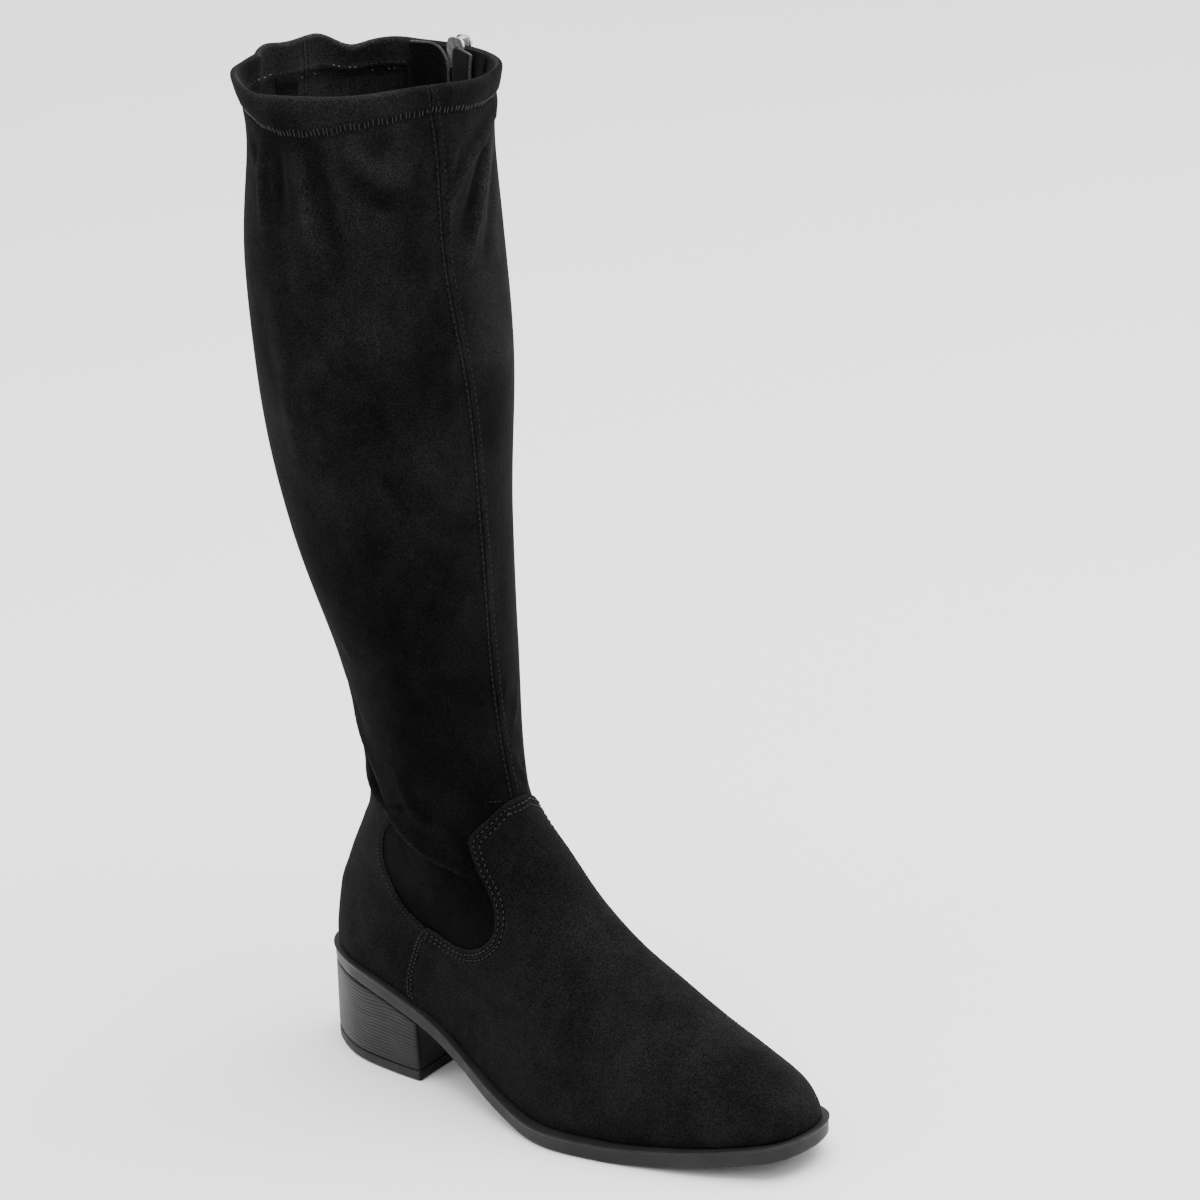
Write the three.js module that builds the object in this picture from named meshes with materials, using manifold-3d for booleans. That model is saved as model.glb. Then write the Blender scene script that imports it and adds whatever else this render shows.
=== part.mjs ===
// Right knee-high stretch boot: block heel, vamp and counter overlays, zip on the medial side.
// Millimetres, +Z up, toe towards -Y, medial side towards +X, origin under the middle of the heel.
import * as THREE from "three";
import { mergeVertices } from "three/addons/utils/BufferGeometryUtils.js";
import Module from "manifold-3d";

const wasm = await Module();
wasm.setup();

// Sole and foot
const soleLength = 265;
const ballWidth = 90;
const heelCentre = 30; // from the sole's back to the origin
const heelHeight = 39; // ground to the sole's underside at the heel
const toeSpring = 10.5;
const toeSwing = 4.5; // the toe's shift towards the medial side
const bandThickness = 8;
const instepHeight = 110; // seat to just under the tongue's top
const insoleThickness = 3;

// Heel
const heelLength = 67.5; // at the ground, from the sole's back to the breast
const heelFlare = 2; // how far the heel's ground edge lies behind the sole's back
const topLiftHeight = 4.8;

// Shaft
const bootHeight = 462;
const ankleHeight = 150;
const calfWidth = 113;
const collarTilt = 5.6;
const hemHeight = 12;
const hemStep = 0.6;
const seamHalfWidth = 2.2;
const seamRidge = 0.5;
const foldDepth = 2.8; // how far the ankle's soft fold stands over the counter

// Walls and gaps
const upperWall = 1.6;
const coverThickness = 1.1;
const coverSink = 1; // how far the wall lies back under the vamp and the counter
const seatGap = 0.3;
const coverGap = 0.3;
const quarterGap = 0.5; // between the vamp's and the counter's edges
const insoleClearance = 1;

// Zip. Drops and clearances along it are measured from the collar's rim or the slider's middle.
const slitWidth = 5.2;
const coilWidth = 4.2;
const coilHeight = 1.3;
const tapeWidth = 12;
const tapeFold = 7; // zip centre line to the tape's middle column
const tapeThickness = 0.7;
const tapeParting = 0.4; // between the two tapes
const tapeGap = 0.5; // between the wall, the tapes and the facings
const tapeRimDrop = 1; // collar rim to the tapes' top
const facingWidth = 17;
const facingThickness = 0.8;
const facingCorner = 14; // round top corner of the rear facing
const facingStandOff = 5.4; // zip centre line to a facing's edge
const coilToSlider = 1.2;
const sliderDrop = 4;
const sliderWidth = 9;
const sliderLength = 13.5;
const sliderPlate = 1.3;
const sliderRise = 0.5; // the slider's plate above the hem
const postWidth = 3.2;
const postLength = 4.2;
const postToFront = 0.95; // from the post to the slider's upper end
const archWidth = 2.4;
const archSpan = 10;
const archRise = 3.4;
const archBar = 1.4;
const archRoot = 0.2; // how deep the arch and the post run into the plates
const pullLength = 23;
const pullWidth = 6.4;
const pullThickness = 1.2;
const pullBar = 1.2; // the pull's crossbar under the arch
const pullHoleLength = 5;
const pullHoleWidth = 4;

// Notches in the sole's edge at the ball
const notchCount = 4;
const notchPitch = 12.4;
const firstNotch = 157; // from the sole's back
const notchWidth = 1.8;
const notchHeight = 1.3;
const notchReach = 5;

// Rows of a table as objects with the columns' names
function table(names, rows) {
  const keys = names.split(" ");
  return rows.map((row) => Object.fromEntries(row.map((value, i) => [keys[i], value])));
}

// Half widths of the sole as shares of the ball width, before its ends are rounded by soleHalf
const soleOutline = table("at lateral medial", [
  [0, 0.465, 0.52],
  [0.04, 0.46, 0.515],
  [0.1, 0.46, 0.49],
  [0.2, 0.395, 0.415],
  [0.32, 0.35, 0.335],
  [0.45, 0.43, 0.31],
  [0.58, 0.52, 0.42],
  [0.68, 0.52, 0.52],
  [0.78, 0.505, 0.54],
  [0.88, 0.515, 0.54],
  [0.94, 0.555, 0.58],
  [0.98, 0.68, 0.665],
  [1, 0.73, 0.73],
]);

// Underside of the sole as shares of the heel height; it is flat from the ball to flatEnd
const soleProfile = table("at rise", [
  [0, 1],
  [0.12, 0.99],
  [0.25, 0.745],
  [0.35, 0.42],
  [0.45, 0.15],
  [0.52, 0.03],
  [0.57, 0],
  [1, 0],
]);
const flatEnd = 0.69;

// Rings of the upper round the foot, from the sole's edge to the tongue's top. front and back are
// shares of the sole length, rises of the instep height above the seat, sides, half and lean of
// the ball width. outline and follow say how much of the sole's outline and profile a ring keeps.
const footRings = table(
  "front frontRise frontSide back backRise backSide half lean outline follow",
  [
    [0.989, 0, 0.05, 0.01, 0, 0, 0.472, 0, 1, 1],
    [0.985, 0.065, 0.045, 0.009, 0.063, 0.002, 0.48, 0.01, 1, 1],
    [0.97, 0.145, 0.033, 0.012, 0.136, 0.005, 0.47, 0.02, 1, 0.95],
    [0.93, 0.232, 0.017, 0.017, 0.209, 0.005, 0.445, 0.028, 1, 0.9],
    [0.865, 0.33, 0.006, 0.026, 0.291, 0.003, 0.42, 0.033, 0.95, 0.8],
    [0.78, 0.437, 0.011, 0.043, 0.373, 0.003, 0.4, 0.028, 0.9, 0.65],
    [0.677, 0.568, 0.022, 0.06, 0.455, 0.003, 0.383, 0.022, 0.8, 0.45],
    [0.578, 0.736, 0.028, 0.079, 0.529, 0.003, 0.372, 0.006, 0.6, 0.25],
    [0.507, 0.885, 0.03, 0.1, 0.62, 0.006, 0.361, 0, 0.35, 0.1],
    [0.44, 1.024, 0.006, 0.121, 0.74, 0.011, 0.344, 0.015, 0.1, 0],
  ],
);

// Rings of the shaft. height is the share of the way from the ankle to the collar, centre a share
// of the sole length, depth, half, side, twist and lean shares of half the calf width, and tilt a
// share of the collar's tilt.
const shaftRings = table("height centre depth half side twist lean tilt", [
  [0, 0.276, 0.668, 0.556, 0, -0.035, 0.01, 0],
  [0.16, 0.258, 0.712, 0.708, -0.018, -0.053, -0.01, 0],
  [0.36, 0.226, 0.858, 0.896, -0.033, -0.059, 0, 0],
  [0.56, 0.218, 0.916, 1.005, -0.044, -0.062, -0.053, 0],
  [0.757, 0.22, 0.863, 1.044, -0.062, -0.15, -0.142, 0],
  [0.917, 0.227, 0.854, 1.012, -0.04, -0.2, -0.142, 0.32],
  [1, 0.223, 0.829, 1.016, -0.021, -0.216, -0.248, 1],
]);

// Where the ankle's soft fold breaks over the counter, by the angle from the centre front
const foldLine = table("at row", [
  [0, 7.9],
  [67, 7.97],
  [84, 8.2],
  [91, 8.5],
  [99, 8.9],
  [106, 9.2],
  [134, 9.45],
  [180, 9.5],
]);

// Turn of the zip line from zipAngle, in degrees, by ring
const zipAngle = 262;
const zipTurn = table("at turn", [
  [0, -15],
  [10, -15],
  [11.6, 3],
  [14, 1],
  [16, -7],
]);
const slitBottomRow = 5.5;

// Side outlines of the overlays: shares of the sole length, and of the instep height above the seat
const tongueEdge = [
  [0.424, 1.11],
  [0.413, 1.061],
  [0.401, 1.015],
  [0.39, 0.965],
  [0.391, 0.92],
  [0.405, 0.85],
  [0.424, 0.796],
  [0.438, 0.745],
  [0.443, 0.69],
  [0.439, 0.63],
  [0.421, 0.563],
  [0.392, 0.496],
  [0.355, 0.441],
  [0.319, 0.412],
  [0.281, 0.391],
];
const counterEdge = [
  [0.113, 0.81],
  [0.177, 0.81],
  [0.222, 0.815],
  [0.233, 0.79],
  [0.207, 0.706],
  [0.192, 0.594],
  [0.198, 0.49],
  [0.223, 0.412],
  [0.257, 0.383],
  [0.276, 0.38],
];
const quarterSeam = [
  [0.273, 0.344],
  [0.256, 0.239],
  [0.244, 0.13],
  [0.242, 0.054],
  [0.251, -0.03],
  [0.252, -0.1],
];

// Cubic through two rows of a table with the slopes given by their neighbours
function cubic(before, from, to, after, part) {
  const first = (to - before) / 2;
  const last = (after - from) / 2;
  const a = 2 * from - 2 * to + first + last;
  const b = 3 * to - 3 * from - 2 * first - last;
  return ((a * part + b) * part + first) * part + from;
}

// Value of a table's column at a place along its "at" column
function lookUp(rows, column, at) {
  const last = rows.length - 1;
  const place = THREE.MathUtils.clamp(at, rows[0].at, rows[last].at);
  let i = 0;
  while (i < last - 1 && place > rows[i + 1].at) i += 1;
  const [from, to] = [rows[i], rows[i + 1]];
  const span = to.at - from.at;
  const slope = (k) => {
    const [a, b] = [rows[Math.max(k - 1, 0)], rows[Math.min(k + 1, last)]];
    return (span * (b[column] - a[column])) / (b.at - a.at);
  };
  const before = to[column] - 2 * slope(i);
  const after = from[column] + 2 * slope(i + 1);
  return cubic(before, from[column], to[column], after, (place - from.at) / span);
}

// The sole, by the distance from its back
function soleHalf(side, distance) {
  const at = THREE.MathUtils.clamp(distance / soleLength, 0, 1);
  return ballWidth * lookUp(soleOutline, side, at) * Math.sqrt(4 * at * (1 - at));
}
function soleMiddle(distance) {
  const at = THREE.MathUtils.clamp(distance / soleLength, 0, 1);
  return toeSwing * Math.max(2 * at - 1, 0) ** 2;
}
function underside(distance) {
  const at = THREE.MathUtils.clamp(distance / soleLength, 0, 1);
  const toe = Math.max((at - flatEnd) / (1 - flatEnd), 0);
  return heelHeight * Math.max(lookUp(soleProfile, "rise", at), 0) + toeSpring * toe ** 1.6;
}
const seat = (distance) => underside(distance) + bandThickness;

// All rings in millimetres, one behind the other
const rings = [
  ...footRings.map((ring) => ({
    frontDistance: ring.front * soleLength,
    frontHeight: seat(ring.front * soleLength) + ring.frontRise * instepHeight,
    frontSide: ring.frontSide * ballWidth,
    backDistance: ring.back * soleLength,
    backHeight: seat(ring.back * soleLength) + ring.backRise * instepHeight,
    backSide: ring.backSide * ballWidth,
    half: ring.half * ballWidth,
    lean: ring.lean * ballWidth,
    outline: ring.outline,
    follow: ring.follow,
    tilt: 0,
  })),
  ...shaftRings.map((ring) => ({
    frontDistance: ring.centre * soleLength + (ring.depth * calfWidth) / 2,
    frontHeight: THREE.MathUtils.lerp(ankleHeight, bootHeight, ring.height),
    frontSide: ((ring.side + ring.twist) * calfWidth) / 2,
    backDistance: ring.centre * soleLength - (ring.depth * calfWidth) / 2,
    backHeight: THREE.MathUtils.lerp(ankleHeight, bootHeight, ring.height),
    backSide: ((ring.side - ring.twist) * calfWidth) / 2,
    half: (ring.half * calfWidth) / 2,
    lean: (ring.lean * calfWidth) / 2,
    outline: 0,
    follow: 0,
    tilt: ring.tilt * collarTilt,
  })),
];
const collarRow = rings.length - 1;
const ankleRow = footRings.length;
const hemRow = collarRow - hemHeight / (rings[collarRow].frontHeight - rings[collarRow - 1].frontHeight);

// The ring at any row, by a cubic through the rows
function ringAt(row) {
  const i = Math.min(Math.floor(row), collarRow - 1);
  const [from, to] = [rings[i], rings[i + 1]];
  const ring = {};
  for (const key of Object.keys(from)) {
    const before = i > 0 ? rings[i - 1][key] : 2 * from[key] - to[key];
    const after = i + 2 <= collarRow ? rings[i + 2][key] : 2 * to[key] - from[key];
    ring[key] = cubic(before, from[key], to[key], after, row - i);
  }
  return ring;
}

// The upper's smooth form. The angle runs from the centre front over the lateral side.
function form(angle, row) {
  const ring = ringAt(THREE.MathUtils.clamp(row, 0, collarRow));
  const ahead = (1 + Math.cos(angle)) / 2;
  const aside = Math.sin(angle);
  const distance = THREE.MathUtils.lerp(ring.backDistance, ring.frontDistance, ahead) + ring.lean * aside;
  const side = aside > 0 ? "lateral" : "medial";
  const at = THREE.MathUtils.clamp(distance / soleLength, 0, 1);
  const outline = 2 * lookUp(soleOutline, side, at);
  const half = ring.half * THREE.MathUtils.lerp(1, outline, ring.outline);
  const middle = THREE.MathUtils.lerp(ring.backSide, ring.frontSide, ahead);
  const swing = ring.outline * soleMiddle(distance) * (1 - ahead);
  const backChord = ring.backHeight - ring.follow * seat(ring.backDistance);
  const frontChord = ring.frontHeight - ring.follow * seat(ring.frontDistance);
  const chord = THREE.MathUtils.lerp(backChord, frontChord, ahead);
  const height = ring.follow * seat(distance) + chord + ring.tilt * aside;
  return new THREE.Vector3(middle + swing - aside * half, heelCentre - distance, height);
}

const angleStep = 0.002;
const rowStep = 0.01;
function alongRing(angle, row) {
  const ahead = form(angle + angleStep, row);
  return ahead.sub(form(angle - angleStep, row)).divideScalar(2 * angleStep);
}
function outward(angle, row) {
  const up = form(angle, Math.min(row + rowStep, collarRow));
  up.sub(form(angle, Math.max(row - rowStep, 0)));
  return up.cross(alongRing(angle, row)).normalize();
}

// The fold: the shaft's cloth stands proud just above the fold line and dies out upwards. It is
// absent at the front and full from the sides to the back.
const foldSides = [30, 75];
const foldBreak = 0.35; // rows from the fold line to the full depth
function fold(angle, row) {
  const turned = THREE.MathUtils.radToDeg(Math.acos(Math.cos(angle)));
  const above = row - lookUp(foldLine, "row", turned);
  const fullness = THREE.MathUtils.smoothstep(turned, ...foldSides);
  const rise = THREE.MathUtils.smoothstep(above, 0, foldBreak);
  return foldDepth * fullness * rise * Math.exp(-Math.max(above, 0));
}

// A point at an offset from the wall's outer skin. Below the rings the skin hangs straight down,
// for the seat to cut it off.
const skirtRow = -1;
const sinkRows = [ankleRow - 1.4, ankleRow + 0.2]; // where the wall comes out from under the overlays
function skin(angle, row, offset) {
  const sink = coverSink * (1 - THREE.MathUtils.smoothstep(row, ...sinkRows));
  const place = Math.max(row, 0);
  const point = form(angle, place);
  point.addScaledVector(outward(angle, place), offset - sink + fold(angle, place));
  if (row < 0) point.z += row * bandThickness;
  return point;
}

// Angles of the columns. A column follows the front seam or the zip at a distance in millimetres,
// or keeps its turn and gives way a little to the zip line.
const zipCentre = (row) => THREE.MathUtils.degToRad(zipAngle + lookUp(zipTurn, "turn", row));
function angleOf(column, row) {
  if (column.fromSeam !== undefined) return column.fromSeam / alongRing(0, row).length();
  if (column.fromZip !== undefined) {
    const centre = zipCentre(row);
    return centre + column.fromZip / alongRing(centre, row).length();
  }
  const zip = THREE.MathUtils.degToRad(zipAngle);
  return column.turn + (zipCentre(row) - zip) * Math.exp(-(((column.turn - zip) / zipSway) ** 2));
}

const columnCount = 28;
const columnTurn = (2 * Math.PI) / columnCount;
const seamColumns = [-seamHalfWidth - 1, -seamHalfWidth, 0, seamHalfWidth, seamHalfWidth + 1];
const facingReach = facingStandOff + facingWidth;
const zipSide = [slitWidth / 2, tapeFold, tapeWidth, facingReach];
const zipClear = 0.67; // turn either side of the zip without free columns, in radians
const zipColumns = [...zipSide.map((reach) => -reach).reverse(), ...zipSide];
const zipSway = 1; // how far round the other columns give way to the zip line, in radians
function wallColumns() {
  const zip = THREE.MathUtils.degToRad(zipAngle);
  const turns = Array.from({ length: columnCount }, (_, i) => i * columnTurn);
  const free = turns.filter((turn) => turn > 0 && Math.abs(turn - zip) > zipClear);
  return [
    ...seamColumns.slice(2).map((fromSeam) => ({ fromSeam })),
    ...free.filter((turn) => turn < zip).map((turn) => ({ turn })),
    ...zipColumns.map((fromZip) => ({ fromZip })),
    ...free.filter((turn) => turn > zip).map((turn) => ({ turn })),
    ...seamColumns.slice(0, 2).map((fromSeam) => ({ fromSeam })),
  ];
}

function steps(from, to, step) {
  const count = Math.round((to - from) / step);
  return Array.from({ length: count + 1 }, (_, i) => from + ((to - from) * i) / count);
}
const footRows = [skirtRow, 0, 0.5, 1, 1.5, 2, 2.5, 3.2, 4, 4.8, slitBottomRow, 6.3, 7.1, 7.6];
const ankleRows = [8, 8.3, 8.6, 8.9, 9.2, 9.5, ankleRow, 10.5, 11];
const calfRows = [11.6, 12.3, 13, 13.7, 14.4, 15];
const hemEdge = 0.02; // half the rows that the hem's step takes
const hemRows = [hemRow - hemEdge, hemRow + hemEdge, collarRow];
const wallRows = [...footRows, ...ankleRows, ...calfRows, ...hemRows];

// Closed sheet between an outer and an inner surface over a grid of columns and rows
function sheet(columns, rows, outer, inner, { ring = false, open = () => false } = {}) {
  const [width, height] = [columns.length, rows.length];
  const positions = [];
  for (const surface of [outer, inner]) {
    for (const row of rows) {
      for (const column of columns) positions.push(...surface(column, row).toArray());
    }
  }
  const at = (side, i, j) => (side * height + j) * width + (i % width);
  const lastColumn = ring ? width : width - 1;
  const present = (i, j) => {
    if (j < 0 || j >= height - 1) return false;
    if (!ring && (i < 0 || i >= lastColumn)) return false;
    return !open((i + width) % width, j);
  };
  const index = [];
  const face = (a, b, c, d) => index.push(a, b, c, a, c, d);
  for (let j = 0; j < height - 1; j += 1) {
    for (let i = 0; i < lastColumn; i += 1) {
      if (!present(i, j)) continue;
      const [a, b, c, d] = [at(0, i, j), at(0, i + 1, j), at(0, i + 1, j + 1), at(0, i, j + 1)];
      const [e, f, g, h] = [at(1, i, j), at(1, i + 1, j), at(1, i + 1, j + 1), at(1, i, j + 1)];
      index.push(a, d, c, a, c, b, e, g, h, e, f, g);
      if (!present(i, j - 1)) face(a, b, f, e);
      if (!present(i, j + 1)) face(c, d, h, g);
      if (!present(i - 1, j)) face(d, a, e, h);
      if (!present(i + 1, j)) face(b, c, g, f);
    }
  }
  const geometry = new THREE.BufferGeometry();
  geometry.setAttribute("position", new THREE.Float32BufferAttribute(positions, 3));
  geometry.setIndex(index);
  return geometry;
}

// Between geometries and solids
function solid(geometry) {
  const bare = new THREE.BufferGeometry();
  bare.setAttribute("position", geometry.getAttribute("position"));
  if (geometry.index) bare.setIndex(geometry.index);
  const merged = mergeVertices(bare, 1e-4);
  return new wasm.Manifold(
    new wasm.Mesh({
      numProp: 3,
      vertProperties: new Float32Array(merged.attributes.position.array),
      triVerts: new Uint32Array(merged.index.array),
    }),
  );
}
function geometryOf(body) {
  const mesh = body.getMesh();
  const geometry = new THREE.BufferGeometry();
  geometry.setAttribute("position", new THREE.BufferAttribute(mesh.vertProperties, 3));
  geometry.setIndex(new THREE.BufferAttribute(mesh.triVerts, 1));
  return geometry;
}

// Prism across the boot with an outline of distances from the sole's back and heights
const blockHalf = 150;
const cutMargin = 10; // how far a cutting block runs past what it cuts
function sideBlock(points) {
  const shape = new THREE.Shape(points.map(([d, z]) => new THREE.Vector2(heelCentre - d, z)));
  const prism = new THREE.ExtrudeGeometry(shape, { depth: 2 * blockHalf, bevelEnabled: false });
  const across = new THREE.Matrix4().makeBasis(
    new THREE.Vector3(0, 1, 0),
    new THREE.Vector3(0, 0, 1),
    new THREE.Vector3(1, 0, 0),
  );
  prism.translate(0, 0, -blockHalf).applyMatrix4(across);
  return solid(prism);
}

// Prism standing up with an outline seen from above
function planBlock(points) {
  const shape = new THREE.Shape(points.map(([x, y]) => new THREE.Vector2(x, y)));
  const prism = new THREE.ExtrudeGeometry(shape, { depth: bootHeight, bevelEnabled: false });
  prism.translate(0, 0, -bandThickness);
  return solid(prism);
}

// Slab between two heights that follow the sole
function soleSlab(low, high, end = soleLength + heelCentre) {
  const places = steps(-heelCentre, end, 7);
  const bottom = places.map((d) => [d, low(d)]);
  const top = places.map((d) => [d, high(d)]).reverse();
  return sideBlock([...bottom, ...top]);
}

// Everything above the seat
function aboveSeat() {
  return soleSlab((d) => seat(d) + seatGap, () => bootHeight + bandThickness);
}

// Outline of the sole seen from above
const outlineSteps = 28;
function soleLoop() {
  const turns = steps(0, Math.PI, Math.PI / outlineSteps);
  const places = turns.map((turn) => (soleLength * (1 - Math.cos(turn))) / 2);
  const edge = (side, sign) => (d) => [soleMiddle(d) + sign * soleHalf(side, d), heelCentre - d];
  const lateral = places.map(edge("lateral", -1));
  const medial = places.slice(1, -1).reverse().map(edge("medial", 1));
  return [...lateral, ...medial];
}

function outsole() {
  const slab = soleSlab(underside, seat);
  let body = planBlock(soleLoop()).intersect(slab);
  for (let i = 0; i < notchCount; i += 1) {
    const distance = firstNotch + i * notchPitch;
    for (const [side, sign] of [["lateral", -1], ["medial", 1]]) {
      const edge = soleMiddle(distance) + sign * soleHalf(side, distance);
      const box = new THREE.BoxGeometry(2 * notchReach, notchWidth, 2 * notchHeight);
      box.translate(edge, heelCentre - distance, underside(distance));
      body = body.subtract(solid(box));
    }
  }
  return geometryOf(body);
}

// The heel's outer surface, from the ground to the sole
const heelSteps = 22;
function heelForm() {
  const ringOf = (height) => {
    const share = height / heelHeight;
    const flare = heelFlare * (1 - share);
    return steps(-Math.PI / 2, Math.PI / 2, Math.PI / heelSteps).map((turn) => {
      const distance = heelLength * (1 - Math.cos(turn));
      const side = turn < 0 ? "lateral" : "medial";
      const x = Math.sign(turn) * soleHalf(side, distance);
      const y = heelCentre - distance + flare * Math.cos(turn);
      return new THREE.Vector3(x, y, height);
    });
  };
  const levels = [ringOf(0), ringOf(heelHeight + cutMargin)];
  const count = levels[0].length;
  const positions = levels.flat().flatMap((point) => point.toArray());
  const index = [];
  for (let i = 0; i < count; i += 1) {
    const next = (i + 1) % count;
    index.push(i, count + next, next, i, count + i, count + next);
  }
  for (let i = 1; i < count - 1; i += 1) index.push(0, i, i + 1, count, count + i + 1, count + i);
  const geometry = new THREE.BufferGeometry();
  geometry.setAttribute("position", new THREE.Float32BufferAttribute(positions, 3));
  geometry.setIndex(index);
  return solid(geometry);
}
function heelBlock() {
  const low = () => topLiftHeight + seatGap;
  const high = (d) => underside(d) - seatGap;
  return geometryOf(heelForm().intersect(soleSlab(low, high, heelLength + cutMargin)));
}
function topLift() {
  return geometryOf(heelForm().intersect(soleSlab(() => -cutMargin, () => topLiftHeight)));
}

function insole() {
  const inset = -upperWall - insoleClearance;
  const points = wallColumns().map((column) => skin(angleOf(column, 0), 0, inset));
  const loop = points.map((point) => [point.x, point.y]);
  const low = (d) => seat(d) + seatGap;
  return geometryOf(planBlock(loop).intersect(soleSlab(low, (d) => low(d) + insoleThickness)));
}

// The upper: one wall from the sole's edge to the collar, open along the zip
const seamRows = [ankleRow - 0.4, ankleRow + 0.2]; // where the front seam's ridge begins
const slitColumn = wallColumns().findIndex((column) => column.fromZip === -slitWidth / 2);
function upper() {
  const columns = wallColumns();
  const outer = (column, row) => {
    const onShaft = THREE.MathUtils.smoothstep(row, ...seamRows);
    const ridge = Math.abs(column.fromSeam) <= seamHalfWidth ? seamRidge * onShaft : 0;
    return skin(angleOf(column, row), row, row > hemRow ? hemStep : ridge);
  };
  const inner = (column, row) => skin(angleOf(column, row), row, -upperWall);
  const open = (i, j) => i === slitColumn && wallRows[j] >= slitBottomRow;
  const wall = solid(sheet(columns, wallRows, outer, inner, { ring: true, open }));
  return geometryOf(wall.intersect(aboveSeat()));
}

// Side outline of an overlay in millimetres, smooth through its shares
function edgeCurve(shares, count) {
  const points = shares.map(([d, rise]) => {
    const distance = d * soleLength;
    return new THREE.Vector2(distance, seat(distance) + rise * instepHeight);
  });
  return new THREE.SplineCurve(points).getPoints(count).map((point) => point.toArray());
}

// Overlay on the foot: the shell just outside the wall, cut to a side outline
const coverRows = [...footRows, ...ankleRows.filter((row) => row <= ankleRow)];
function cover(outline) {
  const from = coverGap;
  const outer = (column, row) => skin(angleOf(column, row), row, from + coverThickness);
  const inner = (column, row) => skin(angleOf(column, row), row, from);
  const shell = solid(sheet(wallColumns(), coverRows, outer, inner, { ring: true }));
  return shell.intersect(sideBlock(outline)).intersect(aboveSeat());
}
const farBelow = -2 * bandThickness;
const edgePoints = 24;
const seamPoints = 8;
function vamp() {
  const edge = edgeCurve(tongueEdge, edgePoints);
  const seam = edgeCurve(quarterSeam, seamPoints).map(([d, z]) => [d + quarterGap / 2, z]);
  const ahead = soleLength + heelCentre;
  const top = edge[0];
  return geometryOf(
    cover([
      ...edge,
      ...seam,
      [seam.at(-1)[0], farBelow],
      [ahead, farBelow],
      [ahead, top[1]],
      [top[0] + heelCentre, top[1] + heelCentre],
    ]),
  );
}
// On the medial side the counter stops behind the zip
const counterStandOff = 7;
const counterCut = [-counterStandOff, 0, 15, 30];
function counter() {
  const edge = edgeCurve(counterEdge, edgePoints);
  const seam = edgeCurve(quarterSeam, seamPoints).map(([d, z]) => [d - quarterGap / 2, z]);
  const body = cover([
    [-heelCentre, edge[0][1]],
    ...edge,
    ...seam,
    [seam.at(-1)[0], farBelow],
    [-heelCentre, farBelow],
  ]);
  const rows = steps(slitBottomRow - tapeOverrun, ankleRow + 0.5, 0.5);
  const columns = counterCut.map((fromZip) => ({ fromZip }));
  const outer = (column, row) => skin(angleOf(column, row), row, cutMargin);
  const inner = (column, row) => skin(angleOf(column, row), row, -upperWall);
  return geometryOf(body.subtract(solid(sheet(columns, rows, outer, inner))));
}

// Strips along the zip: low and high are offsets from the wall's outer skin
function zipStrip(edges, rows, low, high) {
  const columns = edges(0).map((_, i) => i);
  const place = (i, row) => angleOf({ fromZip: edges(row)[i] }, row);
  const outer = (i, row) => skin(place(i, row), row, high);
  const inner = (i, row) => skin(place(i, row), row, low);
  return sheet(columns, rows, outer, inner);
}
const lastRing = rings[collarRow].frontHeight - rings[collarRow - 1].frontHeight;
const rowBelowRim = (drop) => collarRow - drop / lastRing;
const zipRows = wallRows.filter((row) => row >= slitBottomRow && row < hemRow);
const tapeTop = -upperWall - tapeGap;
const tapeLow = tapeTop - tapeThickness;
const facingTop = tapeLow - tapeGap;
const facingLow = facingTop - facingThickness;
const coilOverrun = 0.1; // rows from the slit's lower end to the coil
const tapeOverrun = 0.5; // rows that the tapes run past the slit's lower end
function zipCoil() {
  const low = tapeTop + seatGap;
  const top = rowBelowRim(sliderDrop + coilToSlider);
  const rows = [slitBottomRow + coilOverrun, ...zipRows.slice(1), top];
  return zipStrip(() => [-coilWidth / 2, 0, coilWidth / 2], rows, low, low + coilHeight);
}
function zipTape(sign) {
  // The tapes part inside the slider, so that they pass its post
  const parting = rowBelowRim(sliderDrop + coilToSlider);
  const parted = rowBelowRim(sliderDrop);
  const rows = [slitBottomRow - tapeOverrun, ...zipRows, parting, parted, rowBelowRim(tapeRimDrop)];
  const edges = (row) => {
    const share = THREE.MathUtils.smoothstep(row, parting, parted);
    const near = THREE.MathUtils.lerp(tapeParting / 2, postWidth / 2 + tapeGap, share);
    return [near, slitWidth / 2, tapeFold, tapeWidth].map((edge) => sign * edge).sort((a, b) => a - b);
  };
  return zipStrip(edges, rows, tapeLow, tapeTop);
}
function zipFacing(sign, corner) {
  const topRows = steps(0, 1, 0.25).map((share) => rowBelowRim(corner * (1 - share) ** 2));
  const rows = [slitBottomRow, ...zipRows.slice(1).filter((row) => row < topRows[0]), ...topRows];
  const edges = (row) => {
    const up = Math.max(row - topRows[0], 0) / (collarRow - topRows[0]);
    const near = facingStandOff + corner * (1 - Math.sqrt(1 - Math.min(up, 1) ** 2));
    return steps(near, facingReach, (facingReach - near) / 3)
      .map((edge) => sign * edge)
      .sort((a, b) => a - b);
  };
  return zipStrip(edges, rows, facingLow, facingTop);
}

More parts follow.
